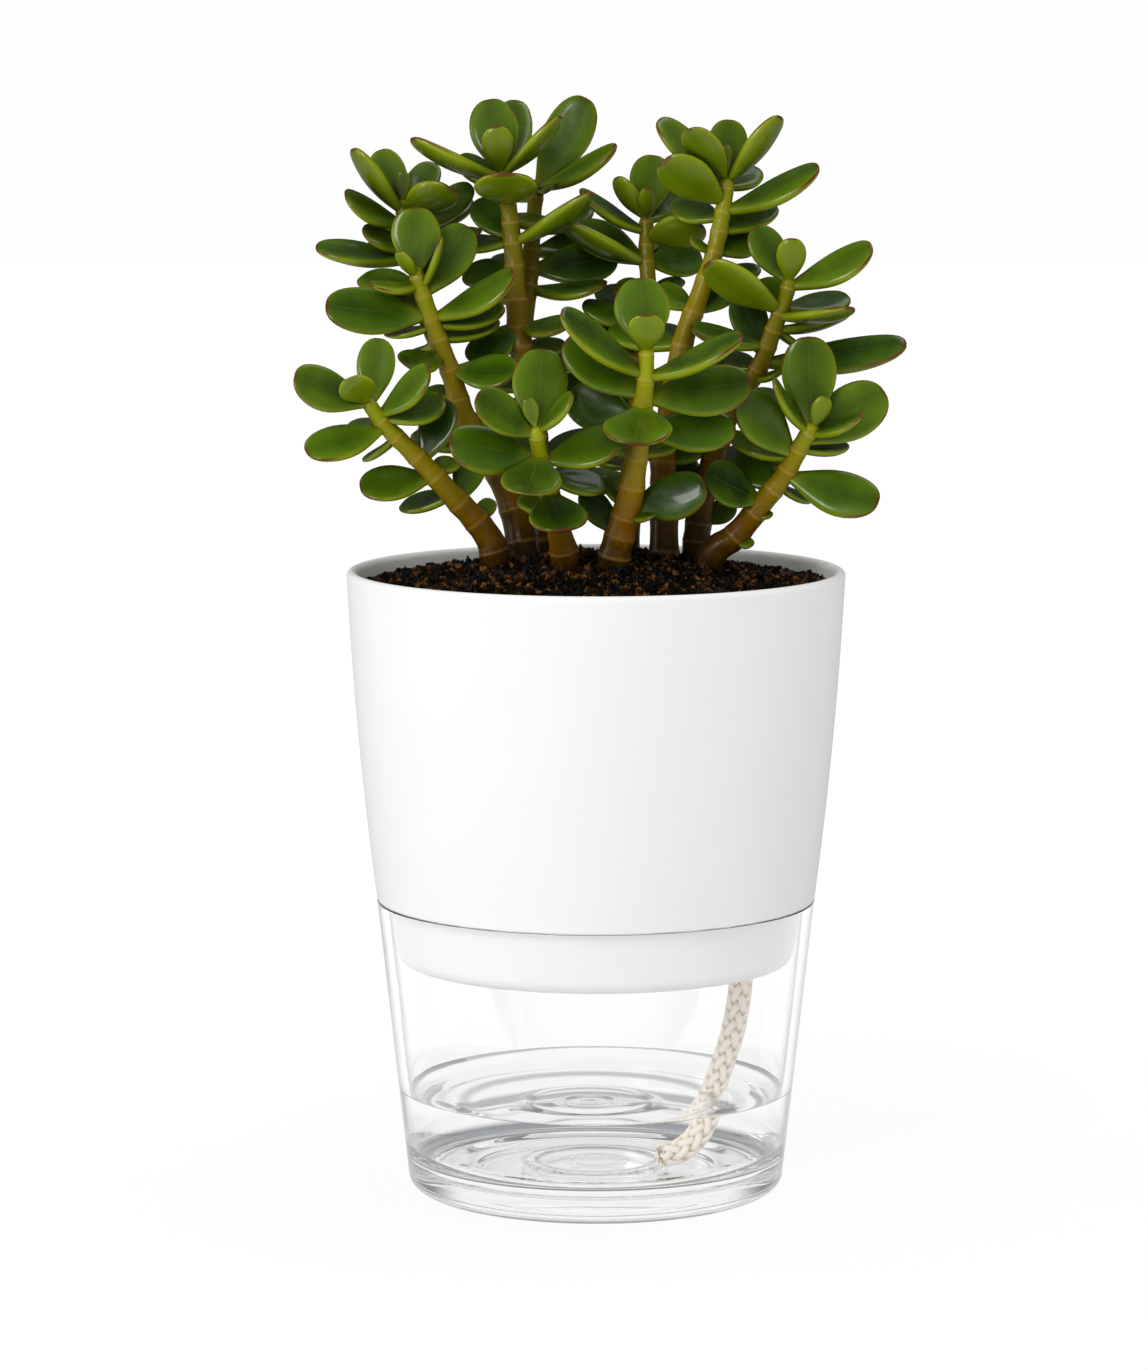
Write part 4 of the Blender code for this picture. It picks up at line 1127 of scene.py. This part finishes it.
def stalk(stem, number, shoot, draw, finish):
    """One shoot of a stem, with swollen nodes and a thin pale scar round each."""
    coarse, coarse_radii = shoot_tube(shoot, number == 0)
    line = smooth_line(coarse, STALK_STEPS)
    count = len(line) - 1
    first = 1 if number == 0 else 0
    scars = [put(*on_shoot(shoot, up)[0]).z for up in node_heights(shoot, draw)]
    low, high = coarse[first].z, coarse[-1].z
    radii, heights, marks = [], [], []
    for i, place in enumerate(line):
        span, part = divmod(i / STALK_STEPS, 1)
        span = int(span)
        end = min(span + 1, len(coarse) - 1)
        radius = coarse_radii[span] + (coarse_radii[end] - coarse_radii[span]) * part
        near = min((abs(place.z - scar) for scar in scars), default=1.0)
        swell = SCAR_SWELL * math.exp(-(near / SCAR_SWELL_REACH) ** 2)
        groove = SCAR_GROOVE * math.exp(-((near - SCAR_GROOVE_PLACE) / SCAR_GROOVE_WIDTH) ** 2)
        end_share = max(0.0, (i - count + STALK_STEPS / 3) / (STALK_STEPS / 3))
        dome = math.sqrt(max(0.0, 1 - end_share ** 2))
        radii.append(max(0.05 * MM, (radius + swell - groove) * dome))
        # A branch starts where its stem is half green.
        height = (place.z - low) / (high - low)
        heights.append(0.55 + 0.45 * height if number else height)
        marks.append(math.exp(-(near / SCAR_WIDTH) ** 2))
    name = stem.replace("stem_", "stalk_") + ("_branch" if number else "")
    # The stems at the back are painted darker and browner, as painted shade.
    tone = min(1.0, max(0.0, 0.45 + line[0].y / BACK_SHADE_DEPTH + draw.uniform(-0.15, 0.15)))
    numbers = {"height": heights, "scar": marks, "tone": [tone] * len(line)}
    made = swept(name, line, radii, STALK_SIDES, numbers)
    made.data.materials.append(finish)
    return made


def joined(name, parts):
    """Several mesh objects as one."""
    if len(parts) > 1:
        with bpy.context.temp_override(active_object=parts[0], selected_editable_objects=parts):
            bpy.ops.object.join()
    parts[0].name = name
    parts[0].data.name = name
    return parts[0]


def soil_bed(seed):
    """The body of the soil, lumpy on top, down to where nothing shows."""
    edge = pot_radius(SOIL_EDGE_HEIGHT) - POT_WALL - 0.1 * MM
    bed = bmesh.new()
    top = []
    for ring in range(1, BED_RINGS + 1):
        radius = edge * ring / BED_RINGS
        row = []
        for side in range(BED_SIDES):
            angle = 2 * math.pi * side / BED_SIDES
            place = Vector((radius * math.cos(angle), radius * math.sin(angle), soil_height(radius, edge)))
            coarse, middle, fine = (place / size for size in LUMP_SIZES)
            lump = noise.noise(coarse) + noise.noise(middle + Vector((7, 1, seed))) + abs(noise.noise(fine))
            place.z += lump * LUMP_HEIGHT * (1.0 if ring < BED_RINGS else 0.4)
            row.append(bed.verts.new(place))
        top.append(row)
    centre = bed.verts.new((0.0, 0.0, soil_height(0.0, edge)))
    foot = [bed.verts.new((v.co.x * 0.97, v.co.y * 0.97, SOIL_BOTTOM)) for v in top[-1]]
    for side in range(BED_SIDES):
        after = (side + 1) % BED_SIDES
        bed.faces.new((centre, top[0][side], top[0][after]))
        for low, high in zip(top, top[1:]):
            bed.faces.new((low[side], high[side], high[after], low[after]))
        bed.faces.new((top[-1][side], foot[side], foot[after], top[-1][after]))
    bed.faces.new(list(reversed(foot)))
    mesh = mesh_from(bed, "soil_bed")
    store(mesh, "tone", "FLOAT", [BED_TONE] * len(mesh.vertices))
    mesh.shade_smooth()
    return scene_object("soil_bed", mesh)


def crumb_shapes(seed):
    """A few broken lumps of unit size, kept in a collection that doesn't show."""
    shapes = bpy.data.collections.new("crumb_shapes")
    draw = random.Random(seed)
    for count in range(CRUMB_KINDS):
        lump = bmesh.new()
        bmesh.ops.create_icosphere(lump, subdivisions=1, radius=0.5)
        edges = random.Random(seed + count).sample(list(lump.edges), 4)
        bmesh.ops.subdivide_edges(lump, edges=edges, cuts=1)
        bmesh.ops.triangulate(lump, faces=lump.faces)
        shift = Vector((draw.uniform(0, 50), draw.uniform(0, 50), count))
        stretch = Vector((draw.uniform(0.8, 1.5), draw.uniform(0.7, 1.0), draw.uniform(0.5, 0.85)))
        for vertex in lump.verts:
            vertex.co *= 1 + 0.9 * noise.noise(vertex.co * 2.2 + shift)
            vertex.co = vertex.co * stretch
        name = f"crumb_{count}"
        shapes.objects.link(bpy.data.objects.new(name, mesh_from(lump, name)))
    return shapes


def crumb_tree(material):
    """Geometry Nodes that strew broken lumps over a surface."""
    add, given = geometry_tree("soil_crumbs", "Crumbs", {
        "Ground": "Geometry", "Shapes": "Collection", "Spacing": "Float", "Smallest": "Float",
        "Largest": "Float", "Seed": "Int"})
    seed = given["Seed"]
    spots = add("GeometryNodeDistributePointsOnFaces", given["Ground"], Distance_Min=given["Spacing"],
                Density_Max=CRUMB_DENSITY, Seed=seed, distribute_method="POISSON")
    shapes = add("GeometryNodeCollectionInfo", given["Shapes"], Separate_Children=True, Reset_Children=True)
    turn = add("FunctionNodeRandomValue", (0.0, 0.0, 0.0), (2 * math.pi,) * 3, Seed=seed,
               data_type="FLOAT_VECTOR")
    dice = add("FunctionNodeRandomValue", Seed=seed, data_type="FLOAT")
    # Most crumbs are small.
    size = add("ShaderNodeMapRange", add("POWER", dice, 2.2), To_Min=given["Smallest"],
               To_Max=given["Largest"])
    lumps = add("GeometryNodeInstanceOnPoints", spots, Instance=shapes, Pick_Instance=True,
                Rotation=add("FunctionNodeEulerToRotation", turn), Scale=size)
    shade = add("FunctionNodeRandomValue", Seed=CRUMB_TONE_SEED, data_type="FLOAT")
    toned = add("GeometryNodeStoreNamedAttribute", lumps, Name="tone", Value=shade, data_type="FLOAT",
                domain="INSTANCE")
    real = add("GeometryNodeRealizeInstances", toned)
    add("NodeGroupOutput", add("GeometryNodeSetMaterial", real, Material=material))
    return real.id_data


def top_of(bed):
    """A copy of the soil's top surface, for strewing."""
    shape = bmesh.new()
    shape.from_mesh(bed.data)
    lowest = SOIL_EDGE_HEIGHT - 4 * MM
    low = [face for face in shape.faces if face.normal.z < 0.25 or face.calc_center_median().z < lowest]
    bmesh.ops.delete(shape, geom=low, context="FACES")
    return scene_object("soil_top", mesh_from(shape, "soil_top"))


def braid_tree(material):
    """Geometry Nodes that braid two opposite families of yarns round a path, each over two and under two."""
    add, given = geometry_tree("braided_cord", "Cord", {
        "Path": "Geometry", "Yarns": "Int", "Turns": "Float", "Cord radius": "Float", "Yarn radius": "Float",
        "Weave depth": "Float"})
    path, yarns, depth = given["Path"], given["Yarns"], given["Weave depth"]
    normal = add("GeometryNodeInputNormal")
    beside = add("ShaderNodeVectorMath", add("GeometryNodeInputTangent"), normal, operation="CROSS_PRODUCT")
    sweep = product(add, add("GeometryNodeSplineParameter").outputs["Factor"], given["Turns"], 2 * math.pi)
    crossings = product(add, sweep, yarns, 0.5)
    middle = add("SUBTRACT", add("SUBTRACT", given["Cord radius"], given["Yarn radius"]), depth)
    profile = add("GeometryNodeCurvePrimitiveCircle", Resolution=8, Radius=given["Yarn radius"])
    strands = []
    for direction in (1.0, -1.0):
        copies = add("GeometryNodeDuplicateElements", path, Amount=yarns, domain="SPLINE")
        index = copies.outputs["Duplicate Index"]
        angle = add("MULTIPLY_ADD", add("DIVIDE", index, yarns), 2 * math.pi, product(add, sweep, direction))
        phase = add("MULTIPLY_ADD", index, math.pi, -math.pi / 4)
        phase = add("MULTIPLY_ADD", crossings, direction, phase)
        wave = product(add, add("COSINE", phase), direction)
        radius = add("MULTIPLY_ADD", wave, depth, middle)
        out, aside = (
            add("ShaderNodeVectorMath", axis, product(add, radius, add(turn, angle)), operation="SCALE")
            for axis, turn in ((normal, "COSINE"), (beside, "SINE")))
        # Each point keeps how far out its yarn lies, which the cotton uses for its painted shade in the
        # creases.
        marked = add("GeometryNodeStoreNamedAttribute", copies, Name="depth",
                     Value=add("MULTIPLY_ADD", wave, 0.5, 0.5), data_type="FLOAT", domain="POINT")
        moved = add("GeometryNodeSetPosition", marked,
                    Offset=add("ShaderNodeVectorMath", out, aside, operation="ADD"))
        strands.append(add("GeometryNodeCurveToMesh", moved, Profile_Curve=profile, Fill_Caps=True))
    core = add("GeometryNodeCurvePrimitiveCircle", Resolution=16, Radius=middle)
    strands.append(add("GeometryNodeCurveToMesh", path, Profile_Curve=core, Fill_Caps=True))
    smooth = add("GeometryNodeSetShadeSmooth", add("GeometryNodeJoinGeometry", strands))
    add("NodeGroupOutput", add("GeometryNodeSetMaterial", smooth, Material=material))
    return smooth.id_data


def softbox(name, place, size, power, colour):
    """A soft rectangular light that points at the object."""
    light = bpy.data.lights.new(name, "AREA")
    light.shape = "RECTANGLE"
    light.size, light.size_y = size
    light.energy = power
    light.color = linear(colour)[:3]
    made = scene_object(name, light)
    made.location = place
    made.rotation_euler = (Vector(LIGHT_TARGET) - Vector(place)).to_track_quat("-Z", "Y").to_euler()


def studio_world(settings):
    """White behind the object, dimmer in front and dark at the sides. The backdrop shows as white."""
    world = bpy.data.worlds.new("white_studio")
    world.use_nodes = True
    world.node_tree.nodes.clear()
    add = partial(add_node, world.node_tree)
    direction = add("ShaderNodeTexCoord").outputs["Generated"]
    aside, behind, above = add("ShaderNodeSeparateXYZ", direction).outputs
    level = add("ramp", behind, -0.15, 0.35)
    level = add("MULTIPLY_ADD", level, settings.backdrop - settings.room, settings.room)
    # A black flag stands at each side, low down, and only shows in clear glass and water.
    ray = add("ShaderNodeLightPath").outputs
    flag = product(add, add("ramp", add("ABSOLUTE", aside), 0.52, 0.82), add("ramp", above, 0.4, 0.2),
                   ray["Is Singular Ray"])
    level = dimmed(add, level, flag, settings.flags)
    level = dimmed(add, level, rough_reflection(add), settings.haze)
    room = add("ShaderNodeBackground", "#ffffff", level)
    paper = add("ShaderNodeBackground", "#fefefe", 1.0)
    add("ShaderNodeOutputWorld", add("ShaderNodeMixShader", ray["Is Camera Ray"], room, paper))
    world.cycles.sampling_method = "NONE"
    return world


class StageSettings(bpy.types.PropertyGroup):
    key_light: FloatProperty(
        name="Key light", description="Power of the big soft light at the left", default=5.3, unit="POWER")
    side_light: FloatProperty(
        name="Side light", description="Power of the narrow light at the left", default=1.1, unit="POWER")
    top_light: FloatProperty(
        name="Top light", description="Power of the soft light above", default=1.0, unit="POWER")
    backdrop: FloatProperty(
        name="Backdrop", description="Brightness of the white behind the object", default=0.90)
    room: FloatProperty(name="Room", description="Brightness of the room before the object", default=0.82)
    bounce: FloatProperty(
        name="Floor bounce", description="Light that the floor throws up, as a share", default=0.7)
    haze: FloatProperty(
        name="Haze", description="Brightness of the room in satin surfaces, as a share", default=0.06)
    flags: FloatProperty(
        name="Flags", description="Brightness of the flags at both sides, as a share", default=0.02)


class WickSettings(bpy.types.PropertyGroup):
    yarns: IntProperty(name="Yarns", description="Yarns that wind each way round the wick", default=8)
    lay: FloatProperty(
        name="Lay", description="Length of wick in which a yarn goes round once", default=44 * MM,
        unit="LENGTH")
    yarn_radius: FloatProperty(
        name="Yarn radius", description="Radius of one yarn", default=1.15 * MM, unit="LENGTH")
    weave_depth: FloatProperty(
        name="Weave depth", description="How far a yarn rises over the ones it crosses", default=0.50 * MM,
        unit="LENGTH")


class VesselSettings(bpy.types.PropertyGroup):
    sides: IntProperty(name="Sides", description="Facets round the pot and the glass", default=144)
    ripple: FloatProperty(name="Ripple", description="Steepness of the rings on the water", default=0.30)
    ripple_length: FloatProperty(
        name="Ripple length", description="Radius of the innermost ring", default=2.7 * MM, unit="LENGTH")
    floor_ring: FloatProperty(
        name="Floor ring", description="Steepness of the moulded rings on the glass floor", default=0.22)
    meniscus: FloatProperty(
        name="Meniscus", description="Climb of the water up the glass", default=1.1 * MM, unit="LENGTH")


class SoilSettings(bpy.types.PropertyGroup):
    seed: IntProperty(name="Seed", description="Seed of the crumbs' places and shapes", default=5)
    smallest: FloatProperty(
        name="Smallest crumb", description="Size of the finest crumbs", default=0.9 * MM, unit="LENGTH")
    largest: FloatProperty(
        name="Largest crumb", description="Size of the largest crumbs", default=3.5 * MM, unit="LENGTH")
    spacing: FloatProperty(
        name="Spacing", description="Least distance between crumbs", default=1.25 * MM, unit="LENGTH")


class PlantSettings(bpy.types.PropertyGroup):
    seed: IntProperty(name="Seed", description="Seed of the small differences between leaves", default=3)
    hollow: FloatProperty(
        name="Hollow", description="How far a leaf's upper face sinks between its margins", default=0.25)
    fold: FloatProperty(
        name="Fold", description="How far a leaf's margins rise, as a share of its width", default=0.05)
    leaf_green: FloatVectorProperty(
        name="Leaf green", description="Upper face of an old leaf", subtype="COLOR", size=4,
        default=linear("#588006"))
    leaf_dark: FloatVectorProperty(
        name="Leaf shade", description="Darker clouds on an old leaf", subtype="COLOR", size=4,
        default=linear("#123002"))
    leaf_young: FloatVectorProperty(
        name="Young green", description="Upper face of a young leaf", subtype="COLOR", size=4,
        default=linear("#8a9a05"))
    rim_red: FloatVectorProperty(
        name="Rim red", description="Sun-reddened margin of a leaf", subtype="COLOR", size=4,
        default=linear("#622a0a"))
    rim_redness: FloatProperty(
        name="Rim redness", description="How strongly the margins are reddened", default=0.95)


class JADE_OT_stage(bpy.types.Operator):
    """Sets the camera, the white floor and the soft light"""
    bl_idname = "jade.stage"
    bl_label = "Camera, floor and light"

    def execute(self, context):
        scene = context.scene
        camera = scene_object("camera", bpy.data.cameras.new("camera"))
        camera.data.lens = LENS
        camera.data.sensor_width = SENSOR
        camera.data.clip_start, camera.data.clip_end = CAMERA_RANGE
        camera.location = Vector((EYE_ACROSS, -EYE_DISTANCE, EYE_HEIGHT)) * MM
        camera.rotation_euler = (math.radians(90 - EYE_PITCH), 0.0, 0.0)
        scene.camera = camera
        floor = bmesh.new()
        bmesh.ops.create_grid(floor, x_segments=1, y_segments=1, size=FLOOR_REACH,
                              matrix=Matrix.Translation((0.0, 0.0, -FLOOR_DROP)))
        mesh = mesh_from(floor, "floor")
        mesh.materials.append(floor_material(scene.jade_stage))
        scene_object("floor", mesh)
        for name, place, size, colour in LIGHTS:
            softbox(name, place, size, getattr(scene.jade_stage, name), colour)
        scene.world = studio_world(scene.jade_stage)
        scene.view_settings.view_transform = "Standard"
        # Light goes to and fro many times in the glass and the water.
        scene.cycles.max_bounces = LIGHT_BOUNCES
        scene.cycles.transmission_bounces = LIGHT_BOUNCES
        scene.cycles.glossy_bounces = LIGHT_BOUNCES
        return {"FINISHED"}


class JADE_OT_wick(bpy.types.Operator):
    """Braids the wick from the soil down into the water"""
    bl_idname = "jade.wick"
    bl_label = "Wick"

    def execute(self, context):
        settings = context.scene.jade_wick
        line = smooth_line([Vector(point) * MM for point in WICK_ROUTE], WICK_STEPS)
        length = sum((after - before).length for before, after in zip(line, line[1:]))
        path = path_curve("wick_path", line, [1.0] * len(line))
        wick = grown("cotton_wick", path, braid_tree(cotton_material()), {
            "Yarns": settings.yarns, "Turns": length / settings.lay, "Cord radius": WICK_DIAMETER / 2,
            "Yarn radius": settings.yarn_radius, "Weave depth": settings.weave_depth})
        finished(wick, "cotton_wick", "wick")
        return {"FINISHED"}


class JADE_OT_pot(bpy.types.Operator):
    """Turns the white pot, with its rounded lip and the foot that stands inside the glass"""
    bl_idname = "jade.pot"
    bl_label = "Pot"

    def execute(self, context):
        lip = POT_WALL / 2
        floor = FOOT_UNDERSIDE + POT_FLOOR
        inside = FOOT_LOW_RADIUS - POT_WALL
        outline = [(0.0, floor), (inside - FOOT_FILLET, floor), (inside, floor + FOOT_FILLET),
                   (FOOT_TOP_RADIUS - POT_WALL, SHOULDER_HEIGHT)]
        for step in range(1, PROFILE_STEPS + 1):
            height = SHOULDER_HEIGHT + (RIM_HEIGHT - lip - SHOULDER_HEIGHT) * step / PROFILE_STEPS
            outline.append((pot_radius(height) - POT_WALL, height))
        outline += arc((RIM_RADIUS - lip, RIM_HEIGHT - lip), lip, 180, 0, 12)[1:]
        for step in range(1, PROFILE_STEPS):
            height = RIM_HEIGHT - lip + (SHOULDER_HEIGHT + MM - RIM_HEIGHT + lip) * step / PROFILE_STEPS
            outline.append((pot_radius(height), height))
        corner = SHOULDER_CORNER
        outline += arc((SHOULDER_RADIUS - corner, SHOULDER_HEIGHT + corner), corner, 0, -90, 4)
        outline.append((FOOT_TOP_RADIUS + FOOT_BEVEL, SHOULDER_HEIGHT))
        outline.append((FOOT_TOP_RADIUS, SHOULDER_HEIGHT - FOOT_BEVEL))
        outline += arc((FOOT_LOW_RADIUS - FOOT_CORNER, FOOT_UNDERSIDE + FOOT_CORNER), FOOT_CORNER, 0, -90, 8)
        outline += [(FOOT_LOW_RADIUS / 2, FOOT_UNDERSIDE), (0.0, FOOT_UNDERSIDE)]
        pot = turned("white_pot", outline, context.scene.jade_vessel.sides, ceramic_material())
        finished(pot, "white_ceramic", "pot")
        return {"FINISHED"}


class JADE_OT_reservoir(bpy.types.Operator):
    """Turns the glass reservoir, with a thick floor and moulded rings"""
    bl_idname = "jade.reservoir"
    bl_label = "Glass reservoir"

    def execute(self, context):
        settings = context.scene.jade_vessel
        low = GLASS_FLOOR + GLASS_INNER_CORNER
        flat = glass_radius(low) - GLASS_WALL - GLASS_INNER_CORNER
        outline = []
        for step in range(FLOOR_STEPS):
            share = step / FLOOR_STEPS
            ring = ring_height(flat * share, settings.ripple_length, settings.floor_ring)
            outline.append((flat * share, GLASS_FLOOR + ring * min(1.0, 4 * (1 - share))))
        outline += arc((flat, low), GLASS_INNER_CORNER, -90, 0, 12)
        corner = GLASS_RIM_CORNER
        top = GLASS_HEIGHT - corner
        outline += arc((glass_radius(top) - GLASS_WALL + corner, top), corner, 180, 90, 6)
        outline += arc((glass_radius(top) - corner, top), corner, 90, 0, 6)
        foot = glass_radius(GLASS_CORNER) - GLASS_CORNER
        outline += arc((foot, GLASS_CORNER), GLASS_CORNER, 0, -90, 12)
        outline += [(foot - inward, height) for inward, height in GLASS_UNDERSIDE]
        outline.append((0.0, GLASS_HOLLOW))
        glass = turned("glass_reservoir", outline, settings.sides, glass_material())
        finished(glass, "clear_glass", "reservoir")
        return {"FINISHED"}


class JADE_OT_water(bpy.types.Operator):
    """Fills the reservoir with water, whose surface has rings and climbs a little up the glass"""
    bl_idname = "jade.water"
    bl_label = "Water"

    def execute(self, context):
        settings = context.scene.jade_vessel
        low = GLASS_FLOOR + GLASS_INNER_CORNER
        rim = glass_radius(WATER_LEVEL) - GLASS_WALL
        outline = []
        for step in range(SURFACE_STEPS + 1):
            radius = rim * step / SURFACE_STEPS
            climb = settings.meniscus * math.exp((radius - rim) / MENISCUS_REACH)
            outline.append((radius, WATER_LEVEL - WATER_DIP + climb))
        # The water reaches a little into the glass, so that no air shows between the two.
        outline.append((rim + WATER_OVERLAP, outline[-1][1] + WATER_OVERLAP))
        inner = glass_radius(low) - GLASS_WALL - GLASS_INNER_CORNER
        outline += arc((inner, low), GLASS_INNER_CORNER + MM, 0, -90, 12)
        outline.append((0.0, GLASS_FLOOR - MM))
        body = water_material("water_in_glass", WATER_SLIGHT_BENDING, 0.0, "#fefefe")
        water = turned("still_water", outline, settings.sides, body)
        # The rings on the top are painted grey on their steep sides as painted shade, and darker in the edge
        # material near the sides of the glass.
        water.data.materials.append(water_material("water_surface", WATER_SLIGHT_BENDING, 1.0, "#84898d"))
        water.data.materials.append(water_material("water_edge", WATER_BENDING, 0.3, "#54595d"))
        for vertex in water.data.vertices:
            if vertex.co.z > WATER_LEVEL - 1.5 * MM:
                radius = (vertex.co.xy - Vector(RING_CENTRE)).length
                fade = min(1.0, max(0.0, rim - vertex.co.xy.length) / RING_FADE)
                vertex.co.z += ring_height(radius, settings.ripple_length, settings.ripple) * fade
        # Near the left and right sides, the top takes the edge material, with its darker painted shade on the
        # rings.
        for face in water.data.polygons:
            if face.normal.z > 0.3:
                at_side = face.center.xy.length > rim - EDGE_WIDTH and abs(face.center.x) > EDGE_SHARE * rim
                face.material_index = 2 if at_side else 1
        finished(water, "water", "water")
        return {"FINISHED"}


class JADE_OT_soil(bpy.types.Operator):
    """Fills the pot with soil and strews crumbs over it"""
    bl_idname = "jade.soil"
    bl_label = "Soil"

    def execute(self, context):
        settings = context.scene.jade_soil
        bed = soil_bed(settings.seed)
        bed.data.materials.append(soil_material("moist_peat", "#080300", "#1c0e03", 0.3))
        tree = crumb_tree(soil_material("composted_bark", "#0a0400", "#b87018", 0.2))
        shapes = crumb_shapes(settings.seed)
        crumbs = grown("soil_crumbs", top_of(bed), tree, {
            "Shapes": shapes, "Spacing": settings.spacing, "Smallest": settings.smallest,
            "Largest": settings.largest, "Seed": settings.seed})
        for shape in list(shapes.objects):
            remove(shape)
        bpy.data.collections.remove(shapes)
        finished(bed, "potting_soil", "soil")
        finished(crumbs, "potting_soil", "soil")
        return {"FINISHED"}


class JADE_OT_plant(bpy.types.Operator):
    """Grows the stems and their leaves"""
    bl_idname = "jade.plant"
    bl_label = "Stems and leaves"

    def execute(self, context):
        settings = context.scene.jade_plant
        draw = random.Random(settings.seed)
        bark = stem_material()
        tree = leaf_tree(leaf_material(settings))
        blade = scene_object("leaf_blade", blade_mesh(settings))
        leaves = placed_leaves()
        for stem in STEM_NODES:
            shoots = [stalk(stem, number, shoot, draw, bark) for number, shoot in enumerate(STEMS[stem])]
            stalks = joined(stem.replace("stem_", "stalk_"), shoots)
            finished(stalks, "jade_leaf_and_stem", stem)
            own = [leaf for leaf in leaves if leaf["stem"] == stem]
            foliage = grown(stem.replace("stem_", "leaves_"), point_cloud(own, draw), tree, {
                "Blade": blade, "Sag": LEAF_SAG, "Fold": settings.fold})
            finished(foliage, "jade_leaf_and_stem", stem)
        remove(blade)
        return {"FINISHED"}


class JADE_PT_panel(bpy.types.Panel):
    """Lists what makes the potted jade plant"""
    bl_idname = "JADE_PT_panel"
    bl_label = "Potted jade plant"
    bl_space_type = "VIEW_3D"
    bl_region_type = "UI"
    bl_category = "Jade plant"

    def draw(self, context):
        for operator in OPERATORS:
            self.layout.operator(operator.bl_idname)


OPERATORS = (
    JADE_OT_stage, JADE_OT_wick, JADE_OT_pot, JADE_OT_reservoir, JADE_OT_water, JADE_OT_soil, JADE_OT_plant)
SETTINGS = {
    "jade_stage": StageSettings,
    "jade_wick": WickSettings,
    "jade_vessel": VesselSettings,
    "jade_soil": SoilSettings,
    "jade_plant": PlantSettings,
}
CLASSES = (*SETTINGS.values(), *OPERATORS, JADE_PT_panel)


def register():
    for made in CLASSES:
        bpy.utils.register_class(made)
    for name, group in SETTINGS.items():
        setattr(bpy.types.Scene, name, PointerProperty(type=group))


def unregister():
    for name in SETTINGS:
        delattr(bpy.types.Scene, name)
    for made in reversed(CLASSES):
        bpy.utils.unregister_class(made)


def main():
    register()
    for operator in OPERATORS:
        group, name = operator.bl_idname.split(".")
        getattr(getattr(bpy.ops, group), name)()


if __name__ == "__main__":
    main()
